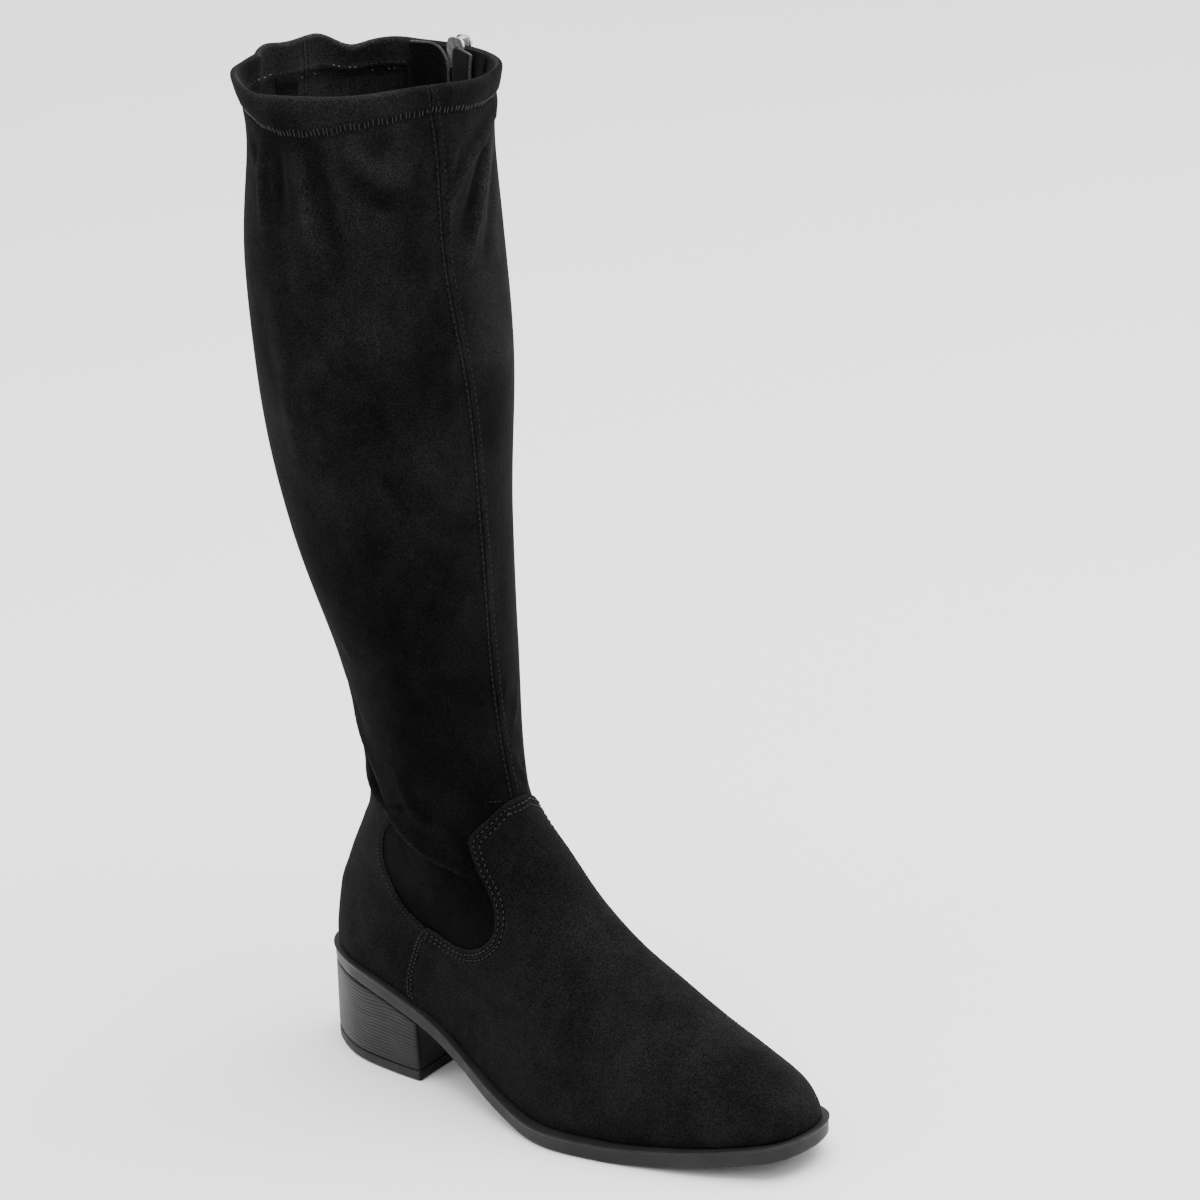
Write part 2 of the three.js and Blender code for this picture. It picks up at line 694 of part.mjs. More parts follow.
// Slider and pull, modelled flat: x across the zip, y up it, z out of the boot
const plateTop = hemStep + sliderRise + sliderPlate;
const pullAxisHeight = plateTop + (archRise - archBar) / 2;
function flatSolid(shape, depth, low) {
  const options = { depth, bevelEnabled: false, curveSegments: 5 };
  return solid(new THREE.ExtrudeGeometry(shape, options).translate(0, 0, low));
}
function sliderPlateAt(low) {
  const half = sliderWidth / 2;
  const end = sliderLength / 2;
  const shape = new THREE.Shape();
  shape.moveTo(-half * 0.7, -end);
  shape.lineTo(half * 0.7, -end);
  shape.lineTo(half, end * 0.2);
  shape.quadraticCurveTo(half, end, half * 0.4, end);
  shape.lineTo(-half * 0.4, end);
  shape.quadraticCurveTo(-half, end, -half, end * 0.2);
  shape.closePath();
  return flatSolid(shape, sliderPlate, low);
}
function sliderArch() {
  const outer = archSpan / 2;
  const inner = outer - archBar;
  const control = 4 / 3; // a Bezier's handles stand this much higher than its crown
  const shape = new THREE.Shape();
  const crown = -archRoot + (archRise + archRoot) * control;
  const underCrown = -archRoot + (archRise - archBar + archRoot) * control;
  shape.moveTo(-outer, -archRoot);
  shape.bezierCurveTo(-outer, crown, outer, crown, outer, -archRoot);
  shape.lineTo(inner, -archRoot);
  shape.bezierCurveTo(inner, underCrown, -inner, underCrown, -inner, -archRoot);
  shape.closePath();
  const options = { depth: archWidth, bevelEnabled: false, curveSegments: 10 };
  const arch = new THREE.ExtrudeGeometry(shape, options).translate(0, 0, -archWidth / 2);
  return solid(arch.rotateY(Math.PI / 2).rotateX(Math.PI / 2).translate(0, 0, plateTop));
}
function zipSlider() {
  const innerPlate = facingTop - sliderPlate;
  const outerPlate = plateTop - sliderPlate;
  const height = outerPlate - facingTop + 2 * archRoot;
  const post = new THREE.BoxGeometry(postWidth, postLength, height);
  const postPlace = sliderLength / 2 - postToFront - postLength / 2;
  post.translate(0, postPlace, facingTop - archRoot + height / 2);
  return geometryOf(
    sliderPlateAt(innerPlate).add(sliderPlateAt(outerPlate)).add(solid(post)).add(sliderArch()),
  );
}
function zipPull() {
  const half = pullWidth / 2;
  const shoulder = -pullHoleLength - 2 * pullBar;
  const foot = -pullLength;
  const shape = new THREE.Shape();
  shape.moveTo(-half, pullBar / 2);
  shape.lineTo(-half * 0.95, shoulder);
  shape.lineTo(-half * 0.75, foot + half);
  shape.quadraticCurveTo(-half * 0.7, foot, 0, foot);
  shape.quadraticCurveTo(half * 0.7, foot, half * 0.75, foot + half);
  shape.lineTo(half * 0.95, shoulder);
  shape.lineTo(half, pullBar / 2);
  shape.closePath();
  const hole = new THREE.Path();
  hole.moveTo(-pullHoleWidth / 2, -pullBar / 2);
  hole.lineTo(pullHoleWidth / 2, -pullBar / 2);
  hole.lineTo(pullHoleWidth / 2, -pullBar / 2 - pullHoleLength);
  hole.lineTo(-pullHoleWidth / 2, -pullBar / 2 - pullHoleLength);
  hole.closePath();
  shape.holes.push(hole);
  return geometryOf(flatSolid(shape, pullThickness, -pullThickness / 2));
}

// Frame of the slider on the wall, along the zip's line
function zipFrame() {
  const row = rowBelowRim(sliderDrop);
  const below = rowBelowRim(sliderDrop + 2 * sliderLength);
  const out = outward(zipCentre(row), row);
  const up = skin(zipCentre(row), row, 0).sub(skin(zipCentre(below), below, 0));
  const across = up.cross(out).normalize();
  const square = new THREE.Vector3().crossVectors(out, across);
  return new THREE.Matrix4().makeBasis(across, square, out).setPosition(skin(zipCentre(row), row, 0));
}

// Turn about the slider's x that lets the pull hang plumb
function plumbTurn(frame) {
  const down = new THREE.Vector3(0, 0, -1).transformDirection(frame.clone().invert());
  return Math.atan2(-down.z, -down.y);
}

function material(color, roughness, metalness = 0) {
  return new THREE.MeshStandardMaterial({ color, roughness, metalness });
}
const suede = () => material(0x151414, 0.95);
const rubber = () => material(0x3c3b3b, 0.6);
const metal = () => material(0xc9c9c6, 0.25, 1);

function piece(name, geometry, finish) {
  const mesh = new THREE.Mesh(geometry, finish);
  mesh.name = name;
  return mesh;
}

const boot = new THREE.Group();
boot.add(
  piece("outsole", outsole(), rubber()),
  piece("heel_block", heelBlock(), rubber()),
  piece("heel_top_lift", topLift(), rubber()),
  piece("insole", insole(), material(0x2a2928, 0.9)),
  piece("upper", upper(), suede()),
  piece("vamp", vamp(), suede()),
  piece("counter", counter(), suede()),
  piece("zip_coil", zipCoil(), material(0x1b1b1b, 0.5)),
  piece("zip_tape_rear", zipTape(-1), material(0x141414, 0.9)),
  piece("zip_tape_front", zipTape(1), material(0x141414, 0.9)),
  piece("zip_facing_rear", zipFacing(-1, facingCorner), material(0x1a1919, 0.9)),
  piece("zip_facing_front", zipFacing(1, facingCorner / 4), material(0x1a1919, 0.9)),
);

const fastener = new THREE.Group();
zipFrame().decompose(fastener.position, fastener.quaternion, fastener.scale);
const pull = piece("zip_pull", zipPull(), metal());
pull.position.z = pullAxisHeight;
pull.rotation.x = plumbTurn(zipFrame());
fastener.add(piece("zip_slider", zipSlider(), metal()), pull);
boot.add(fastener);

export default boot;
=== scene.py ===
import math

import bmesh
import bpy
import numpy as np
from mathutils import Matrix, Vector


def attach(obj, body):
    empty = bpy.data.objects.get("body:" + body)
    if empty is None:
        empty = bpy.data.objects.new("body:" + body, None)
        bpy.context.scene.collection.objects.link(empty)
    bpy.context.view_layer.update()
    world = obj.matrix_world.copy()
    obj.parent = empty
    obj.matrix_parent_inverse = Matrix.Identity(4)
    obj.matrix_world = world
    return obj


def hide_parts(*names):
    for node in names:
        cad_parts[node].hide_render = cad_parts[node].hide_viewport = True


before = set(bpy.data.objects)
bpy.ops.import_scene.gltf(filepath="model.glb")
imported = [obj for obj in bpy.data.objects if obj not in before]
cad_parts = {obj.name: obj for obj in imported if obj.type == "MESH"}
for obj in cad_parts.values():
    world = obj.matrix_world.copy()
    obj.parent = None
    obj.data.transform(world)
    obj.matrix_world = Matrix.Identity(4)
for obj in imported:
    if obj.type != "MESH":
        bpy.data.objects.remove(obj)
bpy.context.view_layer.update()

# All lengths below are in millimetres, in the frame's axes: toe towards -Y, medial side towards +X.
MM = 0.001
SOLE_LENGTH = 265
BALL_WIDTH = 90
HEEL_CENTRE = 30
HEEL_HEIGHT = 39
TOE_SPRING = 10.5
TOE_SWING = 4.5
BAND_THICKNESS = 8
INSTEP_HEIGHT = 110
HEEL_LENGTH = 67.5
HEEL_FLARE = 2
TOP_LIFT_HEIGHT = 4.8
BOOT_HEIGHT = 462
ANKLE_HEIGHT = 150
CALF_WIDTH = 113
COLLAR_TILT = 5.6
UPPER_WALL = 1.6
COVER_THICKNESS = 1.1
COVER_GAP = 0.3
COVER_FACE = COVER_GAP + COVER_THICKNESS
COVER_SINK = 1
SEAT_GAP = 0.3
QUARTER_GAP = 0.5
SLIT_WIDTH = 5.2
ZIP_ANGLE = 262
SLIT_BOTTOM_ROW = 5.5


def table(names, rows):
    """Rows of numbers as a dictionary of named columns."""
    return dict(zip(names.split(), np.array(rows, float).T))


# The form of the sole and of the upper, in shares of the sizes above
SOLE_OUTLINE = table("at lateral medial", [
    [0, 0.465, 0.52], [0.04, 0.46, 0.515], [0.1, 0.46, 0.49], [0.2, 0.395, 0.415],
    [0.32, 0.35, 0.335], [0.45, 0.43, 0.31], [0.58, 0.52, 0.42], [0.68, 0.52, 0.52],
    [0.78, 0.505, 0.54], [0.88, 0.515, 0.54], [0.94, 0.555, 0.58], [0.98, 0.68, 0.665],
    [1, 0.73, 0.73],
])
SOLE_PROFILE = table("at rise", [
    [0, 1], [0.12, 0.99], [0.25, 0.745], [0.35, 0.42], [0.45, 0.15], [0.52, 0.03], [0.57, 0],
    [1, 0],
])
FLAT_END = 0.69
FOOT_RINGS = table(
    "front front_rise front_side back back_rise back_side half lean outline follow",
    [
        [0.989, 0, 0.05, 0.01, 0, 0, 0.472, 0, 1, 1],
        [0.985, 0.065, 0.045, 0.009, 0.063, 0.002, 0.48, 0.01, 1, 1],
        [0.97, 0.145, 0.033, 0.012, 0.136, 0.005, 0.47, 0.02, 1, 0.95],
        [0.93, 0.232, 0.017, 0.017, 0.209, 0.005, 0.445, 0.028, 1, 0.9],
        [0.865, 0.33, 0.006, 0.026, 0.291, 0.003, 0.42, 0.033, 0.95, 0.8],
        [0.78, 0.437, 0.011, 0.043, 0.373, 0.003, 0.4, 0.028, 0.9, 0.65],
        [0.677, 0.568, 0.022, 0.06, 0.455, 0.003, 0.383, 0.022, 0.8, 0.45],
        [0.578, 0.736, 0.028, 0.079, 0.529, 0.003, 0.372, 0.006, 0.6, 0.25],
        [0.507, 0.885, 0.03, 0.1, 0.62, 0.006, 0.361, 0, 0.35, 0.1],
        [0.44, 1.024, 0.006, 0.121, 0.74, 0.011, 0.344, 0.015, 0.1, 0],
    ],
)
SHAFT_RINGS = table("height centre depth half side twist lean tilt", [
    [0, 0.276, 0.668, 0.556, 0, -0.035, 0.01, 0],
    [0.16, 0.258, 0.712, 0.708, -0.018, -0.053, -0.01, 0],
    [0.36, 0.226, 0.858, 0.896, -0.033, -0.059, 0, 0],
    [0.56, 0.218, 0.916, 1.005, -0.044, -0.062, -0.053, 0],
    [0.757, 0.22, 0.863, 1.044, -0.062, -0.15, -0.142, 0],
    [0.917, 0.227, 0.854, 1.012, -0.04, -0.2, -0.142, 0.32],
    [1, 0.223, 0.829, 1.016, -0.021, -0.216, -0.248, 1],
])
FOLD_LINE = table("at row", [
    [0, 7.8], [67, 7.88], [76, 8], [85, 8.18], [93, 8.45], [102, 8.84], [112, 9.22], [134, 9.55],
    [180, 9.62],
])
ZIP_TURN = table("at turn", [
    [0, -15], [10, -15], [11.6, 3], [14, 1], [16, -7],
])
# Side outlines of the overlays: shares of the sole length, and of the instep height above the seat
TONGUE_EDGE = [
    [0.424, 1.11], [0.413, 1.061], [0.401, 1.015], [0.39, 0.965], [0.391, 0.92], [0.405, 0.85],
    [0.424, 0.796], [0.438, 0.745], [0.443, 0.69], [0.439, 0.63], [0.421, 0.563], [0.392, 0.496],
    [0.355, 0.441], [0.319, 0.412], [0.281, 0.391],
]
COUNTER_EDGE = [
    [0.113, 0.845], [0.177, 0.845], [0.222, 0.85], [0.234, 0.81], [0.207, 0.706], [0.192, 0.594],
    [0.198, 0.49], [0.223, 0.412], [0.257, 0.383], [0.276, 0.38],
]
QUARTER_SEAM = [
    [0.273, 0.344], [0.256, 0.239], [0.244, 0.13], [0.242, 0.054], [0.251, -0.03], [0.252, -0.1],
]


def hermite(start, end, first, last, part):
    """Cubic from start to end with the slopes first and last, each over the whole step."""
    a = 2 * start - 2 * end + first + last
    b = 3 * end - 3 * start - 2 * first - last
    return ((a * part + b) * part + first) * part + start


def look_up(rows, column, at):
    """Value of a table's column at places along its "at" column, smooth through the rows."""
    places, values = rows["at"], rows[column]
    top = len(places) - 1
    at = np.clip(at, places[0], places[-1])
    i = np.clip(np.searchsorted(places, at, side="left") - 1, 0, top - 1)
    below, above = np.maximum(i - 1, 0), np.minimum(i + 2, top)
    span = places[i + 1] - places[i]
    first = span * (values[i + 1] - values[below]) / (places[i + 1] - places[below])
    last = span * (values[above] - values[i]) / (places[above] - places[i])
    return hermite(values[i], values[i + 1], first, last, (at - places[i]) / span)


def smoothstep(value, low, high):
    """0 below low, 1 above high and smooth between them."""
    part = np.clip((np.asarray(value, float) - low) / (high - low), 0, 1)
    return part * part * (3 - 2 * part)


def mix(a, b, share):
    return a + (b - a) * share


def grids(*values):
    """Numbers and arrays, spread to one shape."""
    return np.broadcast_arrays(*(np.asarray(value, float) for value in values))


def along_sole(distance):
    """Share of the sole's length at a distance from its back."""
    return np.clip(np.asarray(distance, float) / SOLE_LENGTH, 0, 1)


def sole_half(side, distance):
    """Half width of the sole on one side, at a distance from its back."""
    at = along_sole(distance)
    return BALL_WIDTH * look_up(SOLE_OUTLINE, side, at) * np.sqrt(4 * at * (1 - at))


def sole_middle(distance):
    return TOE_SWING * np.maximum(2 * along_sole(distance) - 1, 0) ** 2


def underside(distance):
    at = along_sole(distance)
    toe = np.maximum((at - FLAT_END) / (1 - FLAT_END), 0)
    return HEEL_HEIGHT * np.maximum(look_up(SOLE_PROFILE, "rise", at), 0) + TOE_SPRING * toe**1.6


def seat(distance):
    return underside(distance) + BAND_THICKNESS


def all_rings():
    """The rings' measures in millimetres: foot rings first, then the shaft's."""
    foot, shaft = FOOT_RINGS, SHAFT_RINGS
    half_calf = CALF_WIDTH / 2
    centre = shaft["centre"] * SOLE_LENGTH
    height = mix(ANKLE_HEIGHT, BOOT_HEIGHT, shaft["height"])
    pairs = {
        "half": (foot["half"] * BALL_WIDTH, shaft["half"] * half_calf),
        "lean": (foot["lean"] * BALL_WIDTH, shaft["lean"] * half_calf),
        "outline": (foot["outline"], 0 * height),
        "follow": (foot["follow"], 0 * height),
        "tilt": (0 * foot["half"], shaft["tilt"] * COLLAR_TILT),
    }
    for end, sign in (("front", 1), ("back", -1)):
        along = foot[end] * SOLE_LENGTH
        aside = (shaft["side"] + sign * shaft["twist"]) * half_calf
        pairs[end] = along, centre + sign * shaft["depth"] * half_calf
        pairs[end + "_height"] = seat(along) + foot[end + "_rise"] * INSTEP_HEIGHT, height
        pairs[end + "_side"] = foot[end + "_side"] * BALL_WIDTH, aside
    return {key: np.concatenate(pair) for key, pair in pairs.items()}


RINGS = all_rings()
COLLAR_ROW = len(RINGS["front"]) - 1
LAST_RING = RINGS["front_height"][COLLAR_ROW] - RINGS["front_height"][COLLAR_ROW - 1]


def curve(points, place):
    """A smooth line through evenly numbered points, at any places along it."""
    padded = np.concatenate([2 * points[:1] - points[1:2], points, 2 * points[-1:] - points[-2:-1]])
    i = np.clip(np.floor(place).astype(int), 0, len(points) - 2)
    a, b, c, d = (padded[i + k] for k in range(4))
    part = (place - i)[(..., *[None] * (points.ndim - 1))]
    return hermite(b, c, (c - a) / 2, (d - b) / 2, part)


def ring_at(row):
    return {key: curve(values, row) for key, values in RINGS.items()}


def form(angle, row):
    """The upper's smooth form. The angle runs from the centre front over the lateral side."""
    angle, row = grids(angle, row)
    ring = ring_at(np.clip(row, 0, COLLAR_ROW))
    ahead = (1 + np.cos(angle)) / 2
    aside = np.sin(angle)
    distance = mix(ring["back"], ring["front"], ahead) + ring["lean"] * aside
    at = along_sole(distance)
    lateral, medial = look_up(SOLE_OUTLINE, "lateral", at), look_up(SOLE_OUTLINE, "medial", at)
    outline = 2 * np.where(aside > 0, lateral, medial)
    half = ring["half"] * mix(1, outline, ring["outline"])
    middle = mix(ring["back_side"], ring["front_side"], ahead)
    swing = ring["outline"] * sole_middle(distance) * (1 - ahead)
    back_chord = ring["back_height"] - ring["follow"] * seat(ring["back"])
    front_chord = ring["front_height"] - ring["follow"] * seat(ring["front"])
    chord = mix(back_chord, front_chord, ahead)
    height = ring["follow"] * seat(distance) + chord + ring["tilt"] * aside
    return np.stack([middle + swing - aside * half, HEEL_CENTRE - distance, height], axis=-1)


def length(vectors):
    return np.linalg.norm(vectors, axis=-1)


def unit(vectors):
    return vectors / length(vectors)[..., None]


def travelled(points):
    """How far along a line each of its points lies."""
    return np.concatenate([[0], np.cumsum(length(np.diff(points, axis=0)))])


def at_places(line, known, wanted):
    """Points of a line at wanted places, given where its own points lie."""
    return np.column_stack([np.interp(wanted, known, column) for column in line.T])


# Small steps for measuring how the form runs
ANGLE_STEP = 0.002
ROW_STEP = 0.01


def along_ring(angle, row):
    """Movement along the ring for each radian, in millimetres."""
    return (form(angle + ANGLE_STEP, row) - form(angle - ANGLE_STEP, row)) / (2 * ANGLE_STEP)


def up_wall(angle, row):
    """Movement up the wall for each row, in millimetres."""
    high, low = np.minimum(row + ROW_STEP, COLLAR_ROW), np.maximum(row - ROW_STEP, 0)
    return (form(angle, high) - form(angle, low)) / np.asarray(high - low)[..., None]


def outward(angle, row):
    return unit(np.cross(up_wall(angle, row), along_ring(angle, row)))


def turned(angle):
    """Degrees from the centre front, the same on either side."""
    return np.degrees(np.arccos(np.clip(np.cos(angle), -1, 1)))


def zip_centre(row):
    return np.radians(ZIP_ANGLE + look_up(ZIP_TURN, "turn", row))


def beside(centre, distance, row):
    """Angle at a distance in millimetres round the ring from a centre angle."""
    return centre + distance / length(along_ring(centre, row))


def beside_zip(distance, row):
    return beside(zip_centre(row), distance, row)


def row_below_rim(drop):
    return COLLAR_ROW - drop / LAST_RING


def below_rim(row):
    """Distance of a row below the rim, in millimetres."""
    return (COLLAR_ROW - row) * LAST_RING


def spline(points, count):
    """A smooth line through given points, as evenly numbered points."""
    return curve(np.array(points, float), np.linspace(0, len(points) - 1, count))


def side_line(shares, count=160):
    """Side outline of an overlay in millimetres: distance from the sole's back, and height."""
    points = [[d * SOLE_LENGTH, seat(d * SOLE_LENGTH) + rise * INSTEP_HEIGHT] for d, rise in shares]
    return spline(points, count)


# Meshes
def to_mesh(name, points, faces):
    """A smooth mesh object from points in millimetres and faces, riding on the boot."""
    mesh = bpy.data.meshes.new(name)
    mesh.from_pydata((points * MM).tolist(), [], faces)
    mesh.validate()
    shell = bmesh.new()
    shell.from_mesh(mesh)
    bmesh.ops.delete(shell, geom=[v for v in shell.verts if not v.link_faces], context="VERTS")
    bmesh.ops.recalc_face_normals(shell, faces=shell.faces)
    shell.to_mesh(mesh)
    shell.free()
    mesh.update()
    mesh.polygons.foreach_set("use_smooth", [True] * len(mesh.polygons))
    piece = bpy.data.objects.new(name, mesh)
    bpy.context.scene.collection.objects.link(piece)
    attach(piece, "boot")
    return piece


def quads(columns, rows, ring=False):
    """Faces of a grid whose point (row, column) is row * columns + column."""
    last = columns if ring else columns - 1
    j, i = np.meshgrid(np.arange(rows - 1), np.arange(last), indexing="ij")
    right = (i + 1) % columns
    low, high = j * columns, (j + 1) * columns
    return np.stack([low + i, low + right, high + right, high + i], -1)


def flat_quads(columns, rows, ring=False):
    return quads(columns, rows, ring).reshape(-1, 4)


def closed_sheet(name, outer, inner, ring=False, hole=None):
    """Closed sheet between two grids of points (rows, columns, 3); hole marks faces to leave out."""
    rows, columns = outer.shape[:2]
    count = rows * columns
    every = quads(columns, rows, ring)
    high, wide = every.shape[:2]
    present = np.ones((high, wide), bool) if hole is None else ~hole
    front = every[present]
    faces = [front[:, ::-1], front + count]
    around = np.pad(present, 1)
    if ring:
        around[:, 0], around[:, -1] = around[:, -2], around[:, 1]
    for (dj, di), (a, b) in {(-1, 0): (0, 1), (1, 0): (2, 3), (0, -1): (3, 0), (0, 1): (1, 2)}.items():
        beyond = around[1 + dj:1 + dj + high, 1 + di:1 + di + wide]
        edge = every[present & ~beyond]
        faces.append(np.stack([edge[:, a], edge[:, b], edge[:, b] + count, edge[:, a] + count], -1))
    points = np.vstack([outer.reshape(-1, 3), inner.reshape(-1, 3)])
    return to_mesh(name, points, np.vstack(faces).tolist())


def nearest(points, line):
    """Distance from each point to a line of points, and the share along the line."""
    flat = points.reshape(-1, points.shape[-1])
    distance = np.full(len(flat), np.inf)
    place = np.zeros(len(flat))
    for k, spot in enumerate(line):
        away = length(flat - spot)
        closer = away < distance
        distance[closer] = away[closer]
        place[closer] = k / (len(line) - 1)
    return distance.reshape(points.shape[:-1]), place.reshape(points.shape[:-1])


# The cloth's relief: the fold at the ankle, the seam and the soft creases
FOLD_DEPTH = 4.2
FOLD_SAG = 3.4
FOLD_TURNS = (56, 84)
# How far and how wide in degrees the zip's tapes calm the fold, and at which row
ZIP_CALM = 0.85
ZIP_CALM_TURN = 15
ZIP_CALM_ROW = 9.5
SINK_ROWS = (8.6, 10.2)
SEAM_RIDGE = 0.42
HEM_STEP = 0.9
HEM_DENT = 0.6
# Half of the slope at the hem's edge, and how much more the hem stands out inside than outside
HEM_EDGE = 1.6
HEM_INSIDE = 1.9
RIM_REACH = 0.55
RIM_ROLL = 2
# Height of the hem from the rim at turns in degrees: the stretched cloth lets it wander
HEM = table("at height", [
    [0, 10.4], [21, 11.4], [38, 12.6], [54, 14.6], [70, 15.5], [86, 14], [98, 11.4], [140, 12],
    [165, 14.2], [190, 14.6], [225, 14.4], [250, 13], [330, 13.4], [360, 10.4],
])
# Turn in degrees and row of each crease's points, height in millimetres and half width
CREASES = [
    ([[304, 15.2], [328, 14.95], [345, 14.75], [357, 14.45]], 3, 3),
    ([[322, 14.75], [336, 14.4], [349, 13.94]], 2.7, 2.8),
    ([[318, 14.98], [334, 14.65], [350, 14.25]], -2.2, 2.8),
    ([[308, 14.7], [322, 14.35], [338, 13.9]], -1.9, 4),
    ([[350, 15], [355, 14.7]], 1.6, 2),
    ([[357, 14.5], [357, 14.2]], 1.2, 2),
    ([[46, 15.3], [34, 15], [20, 14.86]], 3, 5.2),
    ([[44, 14.9], [30, 14.68], [16, 14.56]], -2.9, 6),
    ([[67, 15.3], [66, 14.94], [63, 14.6], [58, 14.1]], 3.2, 3.6),
    ([[58, 15.2], [57, 14.9], [53, 14.6], [48, 14.1]], -3.1, 4.6),
    ([[90, 15.2], [93, 14.78], [90, 14.4]], 2.4, 3),
    ([[80, 15.2], [80, 14.85], [78, 14.5]], -2.3, 3.4),
    ([[106, 15.1], [97, 14.85]], 1.6, 2.6),
    ([[84, 14], [88, 13.3], [95, 12.6]], 1.4, 5),
    ([[134, 10.2], [125, 9.98], [114, 9.55], [102, 9.12]], -1.9, 2.1),
    ([[140, 9.9], [124, 9.7], [110, 9.2], [97, 8.7], [86, 8.35]], 1, 2.4),
    ([[134, 10.55], [122, 10.3], [112, 9.95]], 1.3, 3),
    ([[138, 10.9], [124, 10.7], [114, 10.5]], -1.1, 2.6),
    ([[92, 10.1], [87, 9.6], [76, 9.15], [62, 8.98]], 1.3, 3.6),
    ([[64, 9.3], [59, 8.85], [56, 8.4]], -2, 5),
    ([[70, 8.6], [64, 8.35], [60, 8.15]], 0.8, 3),
    ([[107, 9.45], [96, 9.5], [80, 9.72]], -0.8, 1.6),
    ([[104, 11.3], [97, 11.15]], 0.6, 2.2),
    ([[348, 10.85], [354, 10.75]], 0.6, 1.5),
    ([[334, 10.68], [347, 10.46]], 1, 2),
    ([[353, 10.24], [341, 9.86], [339, 9.58]], 1.2, 2.2),
    ([[350, 10.1], [334, 9.95]], -0.9, 1.8),
    ([[359, 9.97], [342, 9.6]], 0.8, 1.8),
]


def fold_side(angle):
    """How much of the fold shows: none at the front, and little beside the zip, whose tapes stay flat."""
    from_zip = turned(angle - zip_centre(ZIP_CALM_ROW)) / ZIP_CALM_TURN
    return smoothstep(turned(angle), *FOLD_TURNS) * (1 - ZIP_CALM * np.exp(-(from_zip**2)))


def fold_share(angle, row, start, end, fade):
    """Share of the fold that shows: it sets in round the fold's line and fades upwards."""
    above = row - look_up(FOLD_LINE, "row", turned(angle))
    return fold_side(angle) * smoothstep(above, start, end) * np.exp(-np.maximum(above, 0) / fade)


def fold(angle, row):
    """How far the cloth bulges above the fold at the ankle."""
    return FOLD_DEPTH * fold_share(angle, row, -0.05, 0.22, 1)


def sag(angle, row):
    """How far the bulge hangs down over what lies below it."""
    return FOLD_SAG * fold_share(angle, row, -0.02, 0.16, 0.3)


def sink(row):
    """How deep the cloth lies below the form, so that the overlays finish level with it."""
    return COVER_SINK * (1 - smoothstep(row, *SINK_ROWS))


def creases(points):
    """Height of all the creases at points on the form."""
    height = np.zeros(points.shape[:-1])
    for line, rise, width in CREASES:
        path = spline(line, 24)
        spots = form(np.radians(path[:, 0]), path[:, 1])
        distance, share = nearest(points, spots)
        taper = np.sin(np.pi * np.clip(share * 0.8 + 0.1, 0, 1))
        height += rise * taper * np.exp(-((distance / width) ** 2))
    return height


def slow_waves(angle, row):
    """The faint unevenness of cloth that stands without a leg in it."""
    tall = 0.5 * np.sin(2 * angle + 1.7 * row) + 0.4 * np.sin(3 * angle - 2.6 * row + 1)
    return (tall + 0.12 * np.sin(7 * angle + 4.1 * row + 2)) * smoothstep(row, 9.8, 11.5)


# Waves of the collar's rim: turn in degrees, half width in degrees, millimetres out and up
RIM_WAVES = [
    [4, 26, 0, 2.8], [88, 20, 0, -2.6], [118, 14, 0.2, 1.4], [143, 7, -5.8, 2.8],
    [160, 9, 1.8, 3.4], [180, 14, 0.8, 2.9], [188, 7, 1.4, 1.9], [201, 8, -2.6, -2.2],
    [222, 9, 0.8, 0.8], [300, 16, 0.8, 0.5],
]


def rim_wave(angle, row):
    """Movement of the cloth near the rim: outward and up."""
    turn = np.degrees(angle) % 360
    near = np.exp(-(COLLAR_ROW - row) / RIM_REACH)
    out, rise = np.zeros((2, *near.shape))
    for centre, width, outwards, upwards in RIM_WAVES:
        away = (turn - centre + 180) % 360 - 180
        bump = np.exp(-((away / width) ** 2)) * near
        out += outwards * bump
        rise += upwards * bump
    return out, rise


def hem_height(angle):
    return look_up(HEM, "height", np.degrees(angle) % 360)


def below_hem(angle, row):
    return below_rim(row) - hem_height(angle)


def hem(angle, row):
    """The doubled cloth of the hem, which ends at its stitching."""
    return HEM_STEP * (1 - smoothstep(below_hem(angle, row), -HEM_EDGE, HEM_EDGE))


def from_front(angle, row):
    """Distance from the front seam in millimetres, towards the lateral side."""
    side = (angle + np.pi) % (2 * np.pi) - np.pi
    return side * length(along_ring(0, row))


def seams(angle, row):
    """The ridge of the front seam with its butted edges, and the back seam's line."""
    shown = smoothstep(row, 9.3, 10)
    front = from_front(angle, row)
    ridge = SEAM_RIDGE * np.exp(-((front / 2.4) ** 4)) - 0.5 * np.exp(-(((front - 0.9) / 0.5) ** 2))
    back = from_front(angle + np.pi, row)
    return shown * ridge + (0.3 * np.exp(-((back / 1.6) ** 4)) - 0.5 * np.exp(-((back / 0.4) ** 2)))


def cloth_relief(angle, row):
    """All that stands out from the form: the fold, the creases, the waves, the stitched hem and the seams."""
    dent = HEM_DENT * np.exp(-((below_hem(angle, row) / 2) ** 2))
    sewn = hem(angle, row) - dent + seams(angle, row)
    return fold(angle, row) + creases(form(angle, row)) + slow_waves(angle, row) + sewn


def cloth(angle, row, offset=0, relief=None):
    """A point of the upper's cloth, offset outwards from its face."""
    angle, row = grids(angle, row)
    if relief is None:
        relief = cloth_relief(angle, row)
    out, lift = rim_wave(angle, row)
    over = outward(angle, row) * (offset + relief + out - sink(row))[..., None]
    return form(angle, row) + over + unit(up_wall(angle, row)) * (lift - sag(angle, row))[..., None]


